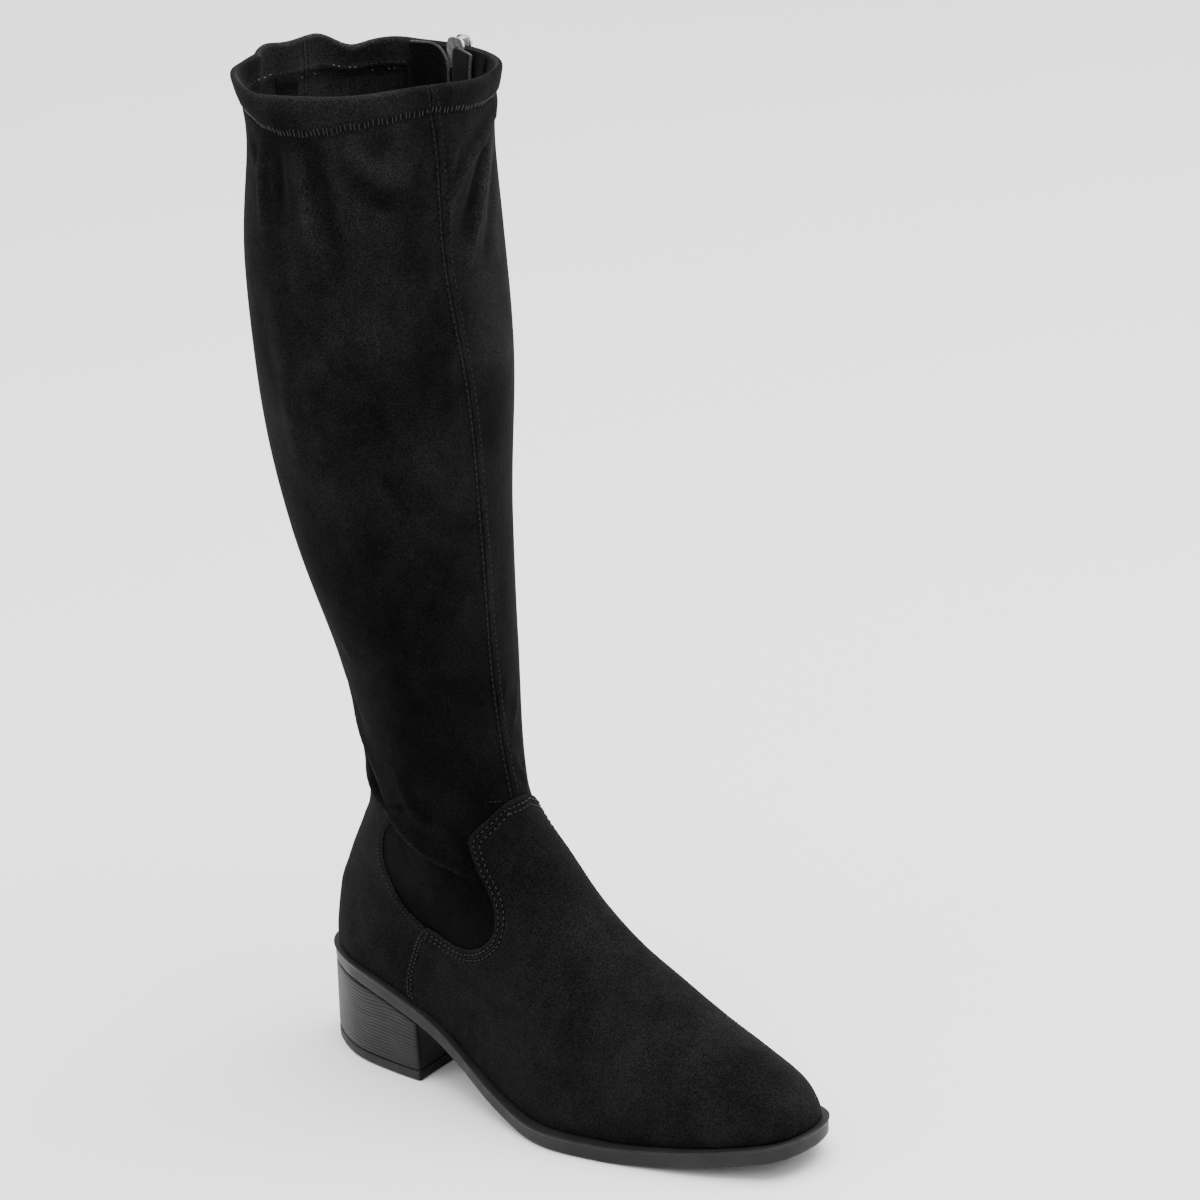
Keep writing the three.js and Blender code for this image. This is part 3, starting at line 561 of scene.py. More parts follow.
# Columns of the cloth: lines that keep a distance in millimetres from the zip, the front and the back
SLIT_HALF = SLIT_WIDTH / 2
SLIT_EDGE = [SLIT_HALF, SLIT_HALF + 1.2]
FRONT_LINES = [-3.6, -2.8, -2.2, -1.6, -1.1, -0.6, -0.2, 0.2, 0.5, 0.7, 0.9, 1.1, 1.3, 1.6, 2.2, 2.8, 3.6]
BACK_LINES = [-2.4, -1.6, -1, -0.5, -0.2, 0.2, 0.5, 1, 1.6, 2.4]
# Columns between them: from the zip to the front, on to the back and on to the zip again
FREE_COLUMNS = (36, 80, 32)


def wall_angles(rows):
    """Angles of the columns at each row, from the slit's front edge round to its rear edge."""
    rows = rows[:, None]
    start, end = zip_centre(rows), zip_centre(rows) + 2 * np.pi
    seams_at = [
        beside(start, np.array(SLIT_EDGE), rows),
        beside(2 * np.pi, np.array(FRONT_LINES), rows),
        beside(3 * np.pi, np.array(BACK_LINES), rows),
        beside(end, -np.array(SLIT_EDGE[::-1]), rows),
    ]
    columns = seams_at[:1]
    for left, right, count in zip(seams_at, seams_at[1:], FREE_COLUMNS):
        columns += [mix(left[:, -1:], right[:, :1], np.linspace(0, 1, count + 2)[1:-1]), right]
    return np.hstack([*columns, beside(end, SLIT_HALF * np.array([-1, 1]) / 3, rows)])


def even_rows(start, end, spacing):
    """Rows from start to end whose steps up the wall come close to a spacing in millimetres."""
    fine = np.linspace(start, end, 400)
    pace = np.mean([length(up_wall(np.radians(turn), fine)) for turn in (10, 90, 180)], axis=0)
    risen = np.concatenate([[0], np.cumsum((pace[1:] + pace[:-1]) / 2 * np.diff(fine))])
    count = max(2, round(risen[-1] / spacing) + 1)
    return np.interp(np.linspace(0, risen[-1], count), risen, fine)


# Stretches of the cloth's rows: first and last row, and the spacing in millimetres
COLLAR_START = row_below_rim(15)
STRETCHES = [(0, 4.4, 5), (4.4, 7.4, 2.4), (7.4, 10, 1.25), (10, COLLAR_START, 2.6)]
COLLAR_SPACING = 1.15
# Turns in degrees at which the rim's roll has its points
ROLL_TURNS = [14, 28, 42, 56, 70, 82]


def shaft():
    """The upper's one sheet of cloth, up to its rolled rim, and how many faces its outside has."""
    rows = [even_rows(*stretch)[:-1] for stretch in STRETCHES]
    rows = np.concatenate([*rows, even_rows(COLLAR_START, row_below_rim(RIM_ROLL), COLLAR_SPACING)])
    angles = wall_angles(rows)
    row_grid = np.broadcast_to(rows[:, None], angles.shape)
    relief = cloth_relief(angles, row_grid)
    outer = cloth(angles, row_grid, 0, relief)
    # The lining follows most of the relief and lies deeper behind the doubled hem
    lining = np.minimum(relief, 0.8 * relief + 0.1)
    inner = cloth(angles, row_grid, -UPPER_WALL, lining - HEM_INSIDE * hem(angles, row_grid))
    # The rim is rolled over a half circle
    centre = (outer[-1] + inner[-1]) / 2
    reach = outer[-1] - centre
    up = RIM_ROLL * unit(up_wall(angles[-1], row_grid[-1]))
    lifts = np.radians(ROLL_TURNS)[:, None, None]
    outer = np.concatenate([outer, centre + reach * np.cos(lifts) + up * np.sin(lifts)])
    inner = np.concatenate([inner, centre - reach * np.cos(lifts) + up * np.sin(lifts)])
    slit = np.zeros((len(outer) - 1, angles.shape[1]), bool)
    slit[np.searchsorted(rows, SLIT_BOTTOM_ROW):, -3:] = True
    return closed_sheet("shaft", outer, inner, True, slit), int((~slit).sum())


def line_inside(piece, outside, lining):
    """Gives the faces of a closed sheet's inner side, which follow those of its outside, the lining."""
    piece.data.materials.append(lining)
    sides = np.zeros(len(piece.data.polygons), int)
    sides[outside:2 * outside] = 1
    piece.data.polygons.foreach_set("material_index", sides)


# Overlays: sheets cut out of the surface over the cloth by an outline seen from the side
VAMP_OVERLAP = 1.6
VAMP_RISE = 1.2
COUNTER_TO_ZIP = 7
COUNTER_TOP_ROW = 9.3
# Insets of the rows of stitches from the overlays' rims, and the grooves that they pull in
TONGUE_ROWS = (1.9, 4.6)
SEAM_ROWS = (1.3, 3)
COUNTER_ROW = 1.8
GROOVE_DEPTH = 0.28
GROOVE_HALF = 0.5
# How round an overlay's rim is: the drop at the rim, how far in it reaches, and the bulge of its wall
RIM_DROP = 0.45
RIM_INSET = 0.55
RIM_BULGE = 0.3
WALL_SHARES = (0.72, 0.3)
COVER_TUCK = 0.15
# How near the rim the faces are halved, step by step, and how near its corners a face can be cut
HALVING_REACHES = (7.5, 6.5)
CUT_MARGIN = 0.03
# Heights and overhang of the corners that close the outlines well outside the boot
OUTLINE_LOW = -60
OUTLINE_HIGH = 300
OUTLINE_OVER = 30


def reach_inside(polygon, points):
    """Distance of points (n, 2) from a polygon's edge, below zero outside it."""
    x, y = points.T
    reach = np.full(len(points), np.inf)
    found = np.zeros(len(points), bool)
    for a, b in zip(polygon, np.roll(polygon, -1, axis=0)):
        along = b - a
        square = along @ along
        if square == 0:
            continue
        share = np.clip(((points - a) @ along) / square, 0, 1)
        reach = np.minimum(reach, length(points - a - share[:, None] * along))
        if along[1]:
            crosses = (a[1] > y) != (b[1] > y)
            found ^= crosses & (x < a[0] + along[0] * (y - a[1]) / along[1])
    return np.where(found, reach, -reach)


def side_place(points):
    """Distance from the sole's back, and height, of points in the frame."""
    return np.stack([HEEL_CENTRE - points[..., 1], points[..., 2]], axis=-1)


def vamp_outline():
    top = side_line(TONGUE_EDGE)
    seam = side_line(QUARTER_SEAM) + [-VAMP_OVERLAP, 0]
    ahead = SOLE_LENGTH + OUTLINE_OVER
    corners = [[ahead, OUTLINE_LOW], [ahead, OUTLINE_HIGH]]
    return np.vstack([top, seam[1:], corners, top[:1] + OUTLINE_OVER])


def counter_outline():
    front = side_line(COUNTER_EDGE)
    seam = side_line(QUARTER_SEAM)[1:] - [QUARTER_GAP / 2, 0]
    return np.vstack([front, seam, [[OUTLINE_LOW, OUTLINE_LOW], [OUTLINE_LOW, front[0, 1]]]])


def cover(angle, row, offset):
    """A point of an overlay, over the cloth without its creases."""
    angle, row = grids(angle, row)
    return form(angle, row) + outward(angle, row) * (offset - sink(row))[..., None]


def cut_grid(inside_by, angles, rows):
    """Cuts a grid along the line where inside_by is 0: its places (n, 2), its faces and the line's places."""
    flat = np.stack([angles.ravel(), rows.ravel()], -1)
    values = inside_by.ravel()
    grid = flat_quads(angles.shape[1], angles.shape[0])
    kept = values[grid] > 0
    faces = grid[kept.all(axis=1)].tolist()
    mixed = kept.any(axis=1) & ~kept.all(axis=1)
    crossings, extra = {}, []
    for quad, keep in zip(grid[mixed], kept[mixed]):
        face = []
        for k in range(4):
            here, ahead = int(quad[k]), int(quad[(k + 1) % 4])
            if keep[k]:
                face.append(here)
            if keep[k] != keep[(k + 1) % 4]:
                key = (min(here, ahead), max(here, ahead))
                if key not in crossings:
                    share = values[key[0]] / (values[key[0]] - values[key[1]])
                    share = min(max(share, CUT_MARGIN), 1 - CUT_MARGIN)
                    crossings[key] = len(flat) + len(extra)
                    extra.append(flat[key[0]] + (flat[key[1]] - flat[key[0]]) * share)
                face.append(crossings[key])
        faces.append(face)
    used = sorted({v for face in faces for v in face})
    renamed = {v: k for k, v in enumerate(used)}
    places = np.vstack([flat, extra])[used]
    return places, [[renamed[v] for v in face] for face in faces], np.array(extra)


def refine(places, faces, near, reaches):
    """Halves the faces near the rim, step by step; returns places, faces and the rim's edges."""
    flat = bmesh.new()
    spots = [flat.verts.new((angle, row, 0)) for angle, row in places]
    for face in faces:
        flat.faces.new([spots[v] for v in face])
    for reach in reaches:
        flat.verts.index_update()
        chosen = near(np.array([v.co[:2] for v in flat.verts])) < reach
        edges = [edge for edge in flat.edges if chosen[edge.verts[0].index] and chosen[edge.verts[1].index]]
        bmesh.ops.subdivide_edges(flat, edges=edges, cuts=1, use_grid_fill=True)
    flat.verts.index_update()
    flat.faces.index_update()
    places = np.array([v.co[:2] for v in flat.verts])
    faces = [[v.index for v in face.verts] for face in flat.faces]
    edges = []
    for edge in flat.edges:
        if edge.is_boundary:
            edges.append((edge.verts[0].index, edge.verts[1].index, edge.link_faces[0].index))
    flat.free()
    return places, faces, edges


def overlay(name, outline, angles, rows, crown, limit=None):
    """An overlay with a rounded rim all round, raised or dented by crown(places, from its rim)."""
    angle_grid, row_grid = np.meshgrid(angles, rows)
    side = side_place(cover(angle_grid, row_grid, COVER_THICKNESS)).reshape(-1, 2)
    above_sole = side[:, 1] - seat(side[:, 0]) - SEAT_GAP
    kept = np.minimum(reach_inside(outline, side), above_sole).reshape(angle_grid.shape)
    if limit:
        kept = np.minimum(kept, limit(angle_grid, row_grid))
    places, faces, rim_places = cut_grid(kept, angle_grid, row_grid)
    edge_points = cover(*rim_places.T, COVER_THICKNESS)

    def from_edge(spots):
        return nearest(cover(*spots.T, COVER_THICKNESS), edge_points)[0]

    places, faces, edges = refine(places, faces, from_edge, HALVING_REACHES)
    rim = np.array(sorted({spot for edge in edges for spot in edge[:2]}))
    from_rim = from_edge(places)
    height = crown(places, from_rim)
    top = cover(*places.T, COVER_FACE + height - RIM_DROP * np.exp(-((from_rim / RIM_INSET) ** 2)))
    bottom = cover(*places.T, COVER_GAP - COVER_TUCK + np.maximum(height, 0))
    # The rim's wall bulges a little along the surface
    pushed = np.zeros_like(top)
    for a, b, face in edges:
        push = (top[a] + top[b]) / 2 - top[faces[face]].mean(axis=0)
        pushed[a] += push
        pushed[b] += push
    bulge = RIM_BULGE * unit(pushed[rim])
    wall = [mix(bottom[rim], top[rim], share) + bulge for share in WALL_SHARES]
    count = len(places)
    solid = faces + [[v + count for v in face[::-1]] for face in faces]
    # The wall's faces join four layers of points: top, upper wall, lower wall and bottom
    every = np.arange(count)
    on_wall = 2 * count + np.searchsorted(rim, every)
    layers = [every, on_wall, on_wall + len(rim), every + count]
    pairs = np.array([edge[:2] for edge in edges])
    for high, low in zip(layers, layers[1:]):
        solid += np.hstack([high[pairs], low[pairs[:, ::-1]]]).tolist()
    return to_mesh(name, np.vstack([top, bottom, *wall]), solid)


def stitch_grooves(from_rim, insets, depth=GROOVE_DEPTH):
    """The dents that rows of stitches pull into an overlay."""
    return sum(-depth * np.exp(-(((from_rim - inset) / GROOVE_HALF) ** 2)) for inset in insets)


def behind_zip(angle, row):
    """Distance behind the line that keeps the counter clear of the zip, which has no say below its end."""
    centre = zip_centre(row)
    free = 60 * (1 - smoothstep(row, 4.5, 5.1))
    return (centre - angle) * length(along_ring(centre, row)) - COUNTER_TO_ZIP + free


def away_from(places, line):
    """Distance of places on an overlay from a line in its side view."""
    return nearest(side_place(cover(*places.T, COVER_THICKNESS)), line)[0]


def from_seam(places):
    return away_from(places, side_line(QUARTER_SEAM, 80))


def raised(seam):
    """How far the vamp rises over the counter's edge, by the distance from their seam."""
    return VAMP_RISE * np.exp(-((seam / 5) ** 2))


def vamp_crown(places, from_rim):
    angle, row = places.T
    seam = from_seam(places)
    tongue = away_from(places, side_line(TONGUE_EDGE, 240))
    swell = 0.3 * np.sin(2.3 * angle + 1.3 * row) * smoothstep(from_rim, 2, 25)
    by_tongue = np.where(tongue < 7, stitch_grooves(from_rim, TONGUE_ROWS), 0)
    by_seam = np.where((seam < 6) & (tongue >= 7), stitch_grooves(from_rim, SEAM_ROWS, 0.22), 0)
    return raised(seam) + swell + by_tongue + by_seam


def counter_crown(places, from_rim):
    front = away_from(places, side_line(COUNTER_EDGE, 240))
    return np.where(front < 4, stitch_grooves(from_rim, [COUNTER_ROW]), 0)


def overlay_rows(top, spacing):
    """Rows of an overlay's grid, with another spacing low down."""
    return np.concatenate([even_rows(0, 5, spacing)[:-1], even_rows(5, top, 1.5)])


def vamp():
    angles = np.radians(np.linspace(-150, 150, 190))
    return overlay("vamp_suede", vamp_outline(), angles, overlay_rows(10.4, 1.7), vamp_crown)


def counter():
    angles = np.radians(np.linspace(88, 272, 130))
    rows = overlay_rows(10, 1.9)
    return overlay("counter_suede", counter_outline(), angles, rows, counter_crown, behind_zip)


# The sole, the heel and the insole: closed loops stacked from the bottom up
BREAST_HOLLOW = 1.5
HEEL_POINTS = 220
# Inset, share of the band's thickness and rise above it, from the underside up
SOLE_EDGE = [
    (1.6, 0, 0), (0.7, 0, 0.15), (0.25, 0, 0.6), (0.05, 0, 1.2), (0, 0, 2), (0, 0.35, 0), (-0.05, 0.6, 0),
    (0, 1, -1.9), (-0.1, 1, -1.35), (-0.45, 1, -1), (-0.65, 1, -0.6), (-0.55, 1, -0.2), (-0.1, 1, 0),
    (0.8, 1, -0.1),
]
# Inset and level
TOP_LIFT_EDGE = [
    (1.1, 0), (0.45, 0.2), (0.1, 0.6), (0, 1.3), (-0.05, 3.6), (0.05, 4.3), (0.3, 4.65),
    (0.9, TOP_LIFT_HEIGHT),
]
INSOLE_EDGE = [(4.5, 0.3), (3.9, 0.45), (3.8, 1.6), (4, 2.6), (4.6, 3.1), (5.6, 3.3)]


def paired_turns(count):
    """Turns round a plan in pairs that share a distance from the back."""
    return 2 * np.pi * (np.arange(2 * count) + 0.5) / (2 * count)


def sole_stations(count):
    """The sole's plan as a loop of paired stations."""
    turns = paired_turns(count)
    distance = SOLE_LENGTH * (1 - np.cos(turns)) / 2
    half = np.where(turns < np.pi, sole_half("medial", distance), -sole_half("lateral", distance))
    return np.stack([sole_middle(distance) + half, HEEL_CENTRE - distance], axis=-1)


def inset_loop(loop, inset):
    """A plan loop moved inwards by millimetres."""
    along = unit(np.roll(loop, -1, axis=0) - np.roll(loop, 1, axis=0))
    inwards = np.stack([-along[:, 1], along[:, 0]], axis=-1)
    if (inwards * (loop.mean(axis=0) - loop)).sum() < 0:
        inwards = -inwards
    return loop + inwards * np.asarray(inset)[..., None]


def stack(name, levels, cap_low, cap_high):
    """Closed solid of loops (n, 3); each cap is a list of points and faces that start at the loop."""
    size = len(levels[0])
    points = np.vstack(levels)
    faces = flat_quads(size, len(levels), ring=True).tolist()
    for start, (extra, cap_faces) in ((0, cap_low), ((len(levels) - 1) * size, cap_high)):
        shift = len(points) - size
        faces += [[v + (start if v < size else shift) for v in face] for face in cap_faces]
        points = np.vstack([points, extra])
    return to_mesh(name, points, faces)


def cross_cap(loop, across, height=None):
    """Fills a loop of paired stations with a grid across; height(points) may set the level."""
    size = len(loop)
    half = size // 2
    shares = np.linspace(0, 1, across + 1)[1:-1]
    near, far = loop[:half], loop[::-1][:half]
    inner = near[:, None, :] + (far - near)[:, None, :] * shares[None, :, None]
    if height is not None:
        inner[..., 2] = height(inner)
    index = np.zeros((half, across + 1), int)
    index[:, 0] = np.arange(half)
    index[:, -1] = size - 1 - np.arange(half)
    index[:, 1:-1] = size + np.arange(half * (across - 1)).reshape(half, across - 1)
    a, b = index[:-1, :-1], index[:-1, 1:]
    c, d = index[1:, 1:], index[1:, :-1]
    faces = np.stack([a, b, c, d], axis=-1).reshape(-1, 4).tolist()
    faces += [index[0].tolist()[::-1], index[-1].tolist()]
    return inner.reshape(-1, 3), faces


def centre_cap(loop, height, shares=(0.93, 0.75, 0.5, 0.25, 0.08)):
    """Fills a loop with ever smaller loops round its middle, at height(distance from the back)."""
    size = len(loop)
    centre = loop.mean(axis=0)
    rings = []
    for share in shares:
        ring = centre + (loop - centre) * share
        ring[:, 2] = height(HEEL_CENTRE - ring[:, 1])
        rings.append(ring)
    faces = flat_quads(size, len(shares) + 1, ring=True).tolist()
    faces.append([len(shares) * size + k for k in range(size)])
    return np.vstack(rings), faces


def ledges(loop, base, steps):
    """Loops of a plan, each moved in by its inset and raised above base(distance from the back)."""
    levels = []
    for inset, rise in steps:
        plan = inset_loop(loop, inset)
        levels.append(np.column_stack([plan, base(HEEL_CENTRE - plan[:, 1]) + rise]))
    return levels


def tread(points):
    """The underside's level, ribbed across the forefoot."""
    distance = HEEL_CENTRE - points[..., 1]
    ribs = 0.5 * smoothstep(np.sin(distance * 2 * np.pi / 5), -0.3, 0.5)
    forefoot = smoothstep(distance, 120, 128) * (1 - smoothstep(distance, 240, 250))
    return underside(distance) + ribs * forefoot


def outsole():
    steps = [(inset, BAND_THICKNESS * share + rise) for inset, share, rise in SOLE_EDGE]
    levels = ledges(sole_stations(150), underside, steps)
    return stack("sole_band", levels, cross_cap(levels[0], 14, tread), cross_cap(levels[-1], 8))


def heel_plan(height):
    """The heel's plan at a height, as an even loop with softened corners."""
    turns = np.linspace(-np.pi / 2, np.pi / 2, 300)
    distance = HEEL_LENGTH * (1 - np.cos(turns))
    flare = HEEL_FLARE * (1 - height / HEEL_HEIGHT)
    half = np.where(turns < 0, sole_half("lateral", distance), sole_half("medial", distance))
    back = np.column_stack([np.sign(turns) * half, HEEL_CENTRE - distance + flare * np.cos(turns)])
    breast = np.linspace(1, -1, 60)[1:-1]
    front = mix(back[-1], back[0], (1 - breast)[:, None] / 2)
    front[:, 1] += BREAST_HOLLOW * (1 - breast**2)
    closed = np.vstack([back, front, back[:1]])
    gone = travelled(closed)
    loop = at_places(closed, gone, np.linspace(0, gone[-1], HEEL_POINTS + 1)[:-1])
    for _ in range(3):
        loop = (np.roll(loop, 1, axis=0) + 2 * loop + np.roll(loop, -1, axis=0)) / 4
    return loop


def heel_stack():
    """The stacked heel, from the top lift to the sole's underside."""
    low, levels = TOP_LIFT_HEIGHT + SEAT_GAP, []
    shares = np.concatenate([[0, 0.012, 0.035], np.linspace(0.08, 0.93, 12), [0.972, 0.99, 1]])
    insets = np.concatenate([[0.9, 0.3, 0.05], np.zeros(12), [0.05, 0.25, 0.8]])
    for share, inset in zip(shares, insets):
        plan = inset_loop(heel_plan(mix(low, HEEL_HEIGHT, share)), inset)
        top = underside(HEEL_CENTRE - plan[:, 1]) - SEAT_GAP
        levels.append(np.column_stack([plan, mix(low, top, share)]))
    over = centre_cap(levels[-1], lambda distance: underside(distance) - SEAT_GAP)
    return stack("heel_stack", levels, centre_cap(levels[0], lambda _: low), over)


def top_lift():
    levels = []
    for inset, level in TOP_LIFT_EDGE:
        plan = inset_loop(heel_plan(level), inset)
        levels.append(np.column_stack([plan, np.full(len(plan), level)]))
    over = centre_cap(levels[-1], lambda _: TOP_LIFT_HEIGHT)
    return stack("top_lift", levels, centre_cap(levels[0], lambda _: 0), over)


def insole_board():
    """The padded insole: its edge rolls down on all sides."""
    levels = ledges(form(np.pi - paired_turns(90), 0)[:, :2], seat, INSOLE_EDGE)
    return stack("insole_board", levels, cross_cap(levels[0], 6), cross_cap(levels[-1], 12))


# The zip: its teeth, tapes and facings follow a smooth wall along the zip's line
TAPE_TOP = -UPPER_WALL - 0.4
TAPE_THICKNESS = 0.7
TAPE_WIDTH = 12
FACING_TOP = TAPE_TOP - TAPE_THICKNESS - 0.5
FACING_THICKNESS = 0.8
FACING_STAND_OFF = 5.4
FACING_REACH = 22.4
FACING_ROUND = 0.8
SLIDER_DROP = 4
PARTING_DROP = SLIDER_DROP + 1.2
COIL_BASE = TAPE_TOP + 0.3
COIL_WIDTH = 4.2
COIL_HEIGHT = 1.3
CORD_SIDE = 1.25
TOOTH_PITCH = 1.35
TAPE_FOLD_TOP = -5.4
TAPE_FOLD_REACH = 15.4
TAPE_FOLD_SLANT = 4.2
TAPE_FOLD_LIFT = 1.5
TAPE_FOLD_DROP = 24


def by_zip(distance, row, offset):
    """A point beside the zip's line, offset outwards from the wall's smooth face."""
    distance, row, offset = grids(distance, row, offset)
    angle = beside_zip(distance, row)
    relief = fold(angle, row) + slow_waves(angle, row)
    return form(angle, row) + outward(angle, row) * (offset + relief - sink(row))[..., None]


def strip(name, distances, rows, top, thickness, lift=0):
    """A closed strip with a rounded edge, from its distances beside the zip at each row."""
    edge = thickness * 0.35 * np.linspace(-1, 1, distances.shape[1]) ** 6
    outer = by_zip(distances, rows, top - edge)
    inner = by_zip(distances, rows, top - thickness + edge)
    return closed_sheet(name, outer + [0, 0, lift], inner + [0, 0, lift])


def zip_tape(name, sign):
    parting = row_below_rim(PARTING_DROP)
    closed = even_rows(SLIT_BOTTOM_ROW - 0.5, parting, 3)[:-1]
    rows = np.concatenate([closed, even_rows(parting, row_below_rim(1), 0.7)])[:, None]
    near = 0.2 + 1.9 * smoothstep(rows, parting, row_below_rim(SLIDER_DROP))
    shares = np.array([0, 0.02, 0.06, 0.14, 0.25, 0.4, 0.55, 0.7, 0.85, 0.95, 0.99, 1])
    return strip(name, sign * mix(near, TAPE_WIDTH, shares), rows, TAPE_TOP, TAPE_THICKNESS)


def facing_shape(corner, near_foot):
    """Rows of a facing and its near edge, whose top corner is round."""
    start = row_below_rim(corner)
    top = COLLAR_ROW - (corner / LAST_RING) * (1 - np.linspace(0, 1, 26)) ** 1.6
    rows = np.concatenate([even_rows(SLIT_BOTTOM_ROW, start, 3)[:-1], top])
    up = np.clip((rows - start) / (COLLAR_ROW - start), 0, 1)
    return rows, near_foot + corner * FACING_ROUND * (1 - np.sqrt(1 - up**2))


def flap_offset(distance, row):
    """How a facing's near edge stands off the wall beside the slider."""
    return FACING_TOP - 2.3 * np.exp(-((distance / 7) ** 2)) * (1 - smoothstep(below_rim(row), 18, 40))


def zip_facing(name, sign, corner, near_foot):
    rows, near = (values[:, None] for values in facing_shape(corner, near_foot))
    shares = np.array([0, 0.015, 0.045, 0.09, 0.16, 0.28, 0.42, 0.58, 0.74, 0.88, 0.96, 0.99, 1])
    distances = mix(near, FACING_REACH + 1.5, shares)
    return strip(name, sign * distances, rows, flap_offset(distances, rows), FACING_THICKNESS)


def edge_roll(name, points, count, row, radius):
    """A thin roll along an edge; its cross direction is taken at a row of the zip."""
    line = spline(points, count)[None]
    return beads(name, line, outward(zip_centre(row), row), radius, around=8, blunt=0)


def piping(name, sign, corner, near_foot, radius):
    """The bound edge of a facing, along its near edge and its round corner."""
    rows, near = facing_shape(corner, near_foot)
    across = np.linspace(near[-1], FACING_REACH, 14)[1:]
    line = by_zip(sign * near, rows, flap_offset(near, rows) - FACING_THICKNESS / 2)
    top = by_zip(sign * across, rows[-1], flap_offset(across, rows[-1]) - FACING_THICKNESS / 2)
    return edge_roll(name, np.vstack([line[::2], top]), 320, rows[-1:], radius)


def fold_row(drop, share=1):
    """Row of the folded tape at a drop below the rim: its top slants down towards its far edge."""
    return row_below_rim(drop + TAPE_FOLD_SLANT * np.exp(-drop / 6) * share)


def tape_fold():
    """The front tape's end, folded down inside the boot in front of the slider."""
    drops = np.concatenate([np.linspace(0.9, 4, 9), np.linspace(5, TAPE_FOLD_DROP, 14)])[::-1, None]
    shares = np.linspace(0, 1, 13)
    near = 1 + 2.4 * (1 - smoothstep(drops, 0.8, 4)) ** 2
    puff = 0.7 * np.sin(np.pi * shares) * np.sin(np.pi * np.clip(drops / (TAPE_FOLD_DROP + 2), 0, 1))
    distances = mix(near, TAPE_FOLD_REACH, shares)
    return strip("tape_fold", distances, fold_row(drops, shares), TAPE_FOLD_TOP - puff, 1, TAPE_FOLD_LIFT)


def tape_fold_edge():
    """The thin roll along the folded end's far edge and its slanted top."""
    middle = TAPE_FOLD_TOP - 0.5
    down = fold_row(np.linspace(TAPE_FOLD_DROP, 0.9, 60))
    shares = np.linspace(1, 0.3, 14)[1:]
    line = by_zip(TAPE_FOLD_REACH, down, middle)
    top = by_zip(TAPE_FOLD_REACH * shares, fold_row(0.9, shares), middle - 0.1 * np.sin(np.pi * shares))
    points = np.vstack([line[::2], top]) + [0, 0, TAPE_FOLD_LIFT]
    return edge_roll("tape_fold_edge", points, 200, down[:1], 0.6)


BACK_TAPE_TURN = 169


def back_tape():
    """The tape that covers the back seam inside, up to the hem."""
    rows = even_rows(10, row_below_rim(12.5), 3)[:, None]
    distances = np.array([-6.6, -6.4, -5.8, -4, -2, -0.5, 0.5, 2, 4, 5.8, 6.4, 6.6])
    angles = beside(np.radians(BACK_TAPE_TURN), distances, rows)
    edge = 0.35 * np.linspace(-1, 1, len(distances)) ** 8
    outer = cloth(angles, rows, -UPPER_WALL - 0.25 - edge)
    inner = cloth(angles, rows, -UPPER_WALL - 0.95 + edge)
    return closed_sheet("back_tape", outer, inner)


def beads(name, lines, normals, radius, around=6, blunt=0.97):
    """Rounded bars along lines of points (n, m, 3), joined as one mesh."""
    count, steps = lines.shape[:2]
    along = unit(np.gradient(lines, axis=1))
    side = unit(np.cross(along, normals[:, None, :]))
    over = np.cross(side, along)
    size = radius * np.sqrt(1 - blunt * np.linspace(-1, 1, steps) ** 4)
    turns = 2 * np.pi * np.arange(around) / around
    ring = side[:, :, None] * np.cos(turns)[:, None] + over[:, :, None] * np.sin(turns)[:, None]
    points = lines[:, :, None] + ring * size[None, :, None, None]
    bases = (np.arange(count) * steps * around)[:, None]
    faces = (flat_quads(around, steps, ring=True) + bases[:, None]).reshape(-1, 4).tolist()
    faces += (bases + np.arange(around)[::-1]).tolist()
    faces += (bases + (steps - 1) * around + np.arange(around)).tolist()
    return to_mesh(name, points.reshape(-1, 3), faces)


def zip_teeth():
    """Two rows of the coil's loops, which meet along the zip's line."""
    rows = even_rows(SLIT_BOTTOM_ROW + 0.1, row_below_rim(PARTING_DROP), TOOTH_PITCH / 2)
    sign = np.where(np.arange(len(rows)) % 2, 1, -1)[:, None]
    bow = COIL_HEIGHT * (0.4 + 0.24 * (1 - np.linspace(-1, 1, 6) ** 2))
    lines = by_zip(sign * np.linspace(COIL_WIDTH / 2, -0.5, 6), rows[:, None], COIL_BASE + bow)
    return beads("zip_teeth", lines, outward(zip_centre(rows), rows), 0.36)


def zip_cord():
    """The two cords of thread that hold the teeth to the tapes."""
    rows = even_rows(SLIT_BOTTOM_ROW, row_below_rim(PARTING_DROP), 1.2)
    spans = np.linspace(rows[:-1], rows[1:], 4, axis=1)
    lines = np.concatenate([by_zip(side, spans, COIL_BASE + COIL_HEIGHT) for side in (-CORD_SIDE, CORD_SIDE)])
    normals = outward(zip_centre(rows[:-1]), rows[:-1])
    return beads("zip_cord", lines, np.concatenate([normals, normals]), 0.2)


# Stitching: pitch and length of each kind of stitch, and how far its rows lie from their seams
SEAM_STITCH = (2.9, 1.7)
BAR_STITCH = (2.2, 1.5)
ZIP_STITCH = (2.7, 1.6)
ZIP_END_STITCH = (1.5, 1.1)
TONGUE_STITCH = (2.75, 1.8)
COUNTER_STITCH = (1.85, 1.1)
HEM_DOT = (2.4, 0.7)
FRONT_SEAM_SIDE = 2.3
BACK_SEAM_SIDE = 1.6
ZIP_SIDE = SLIT_HALF + 1.8
HEM_BAND = 2.1
HEM_STITCHES = 168


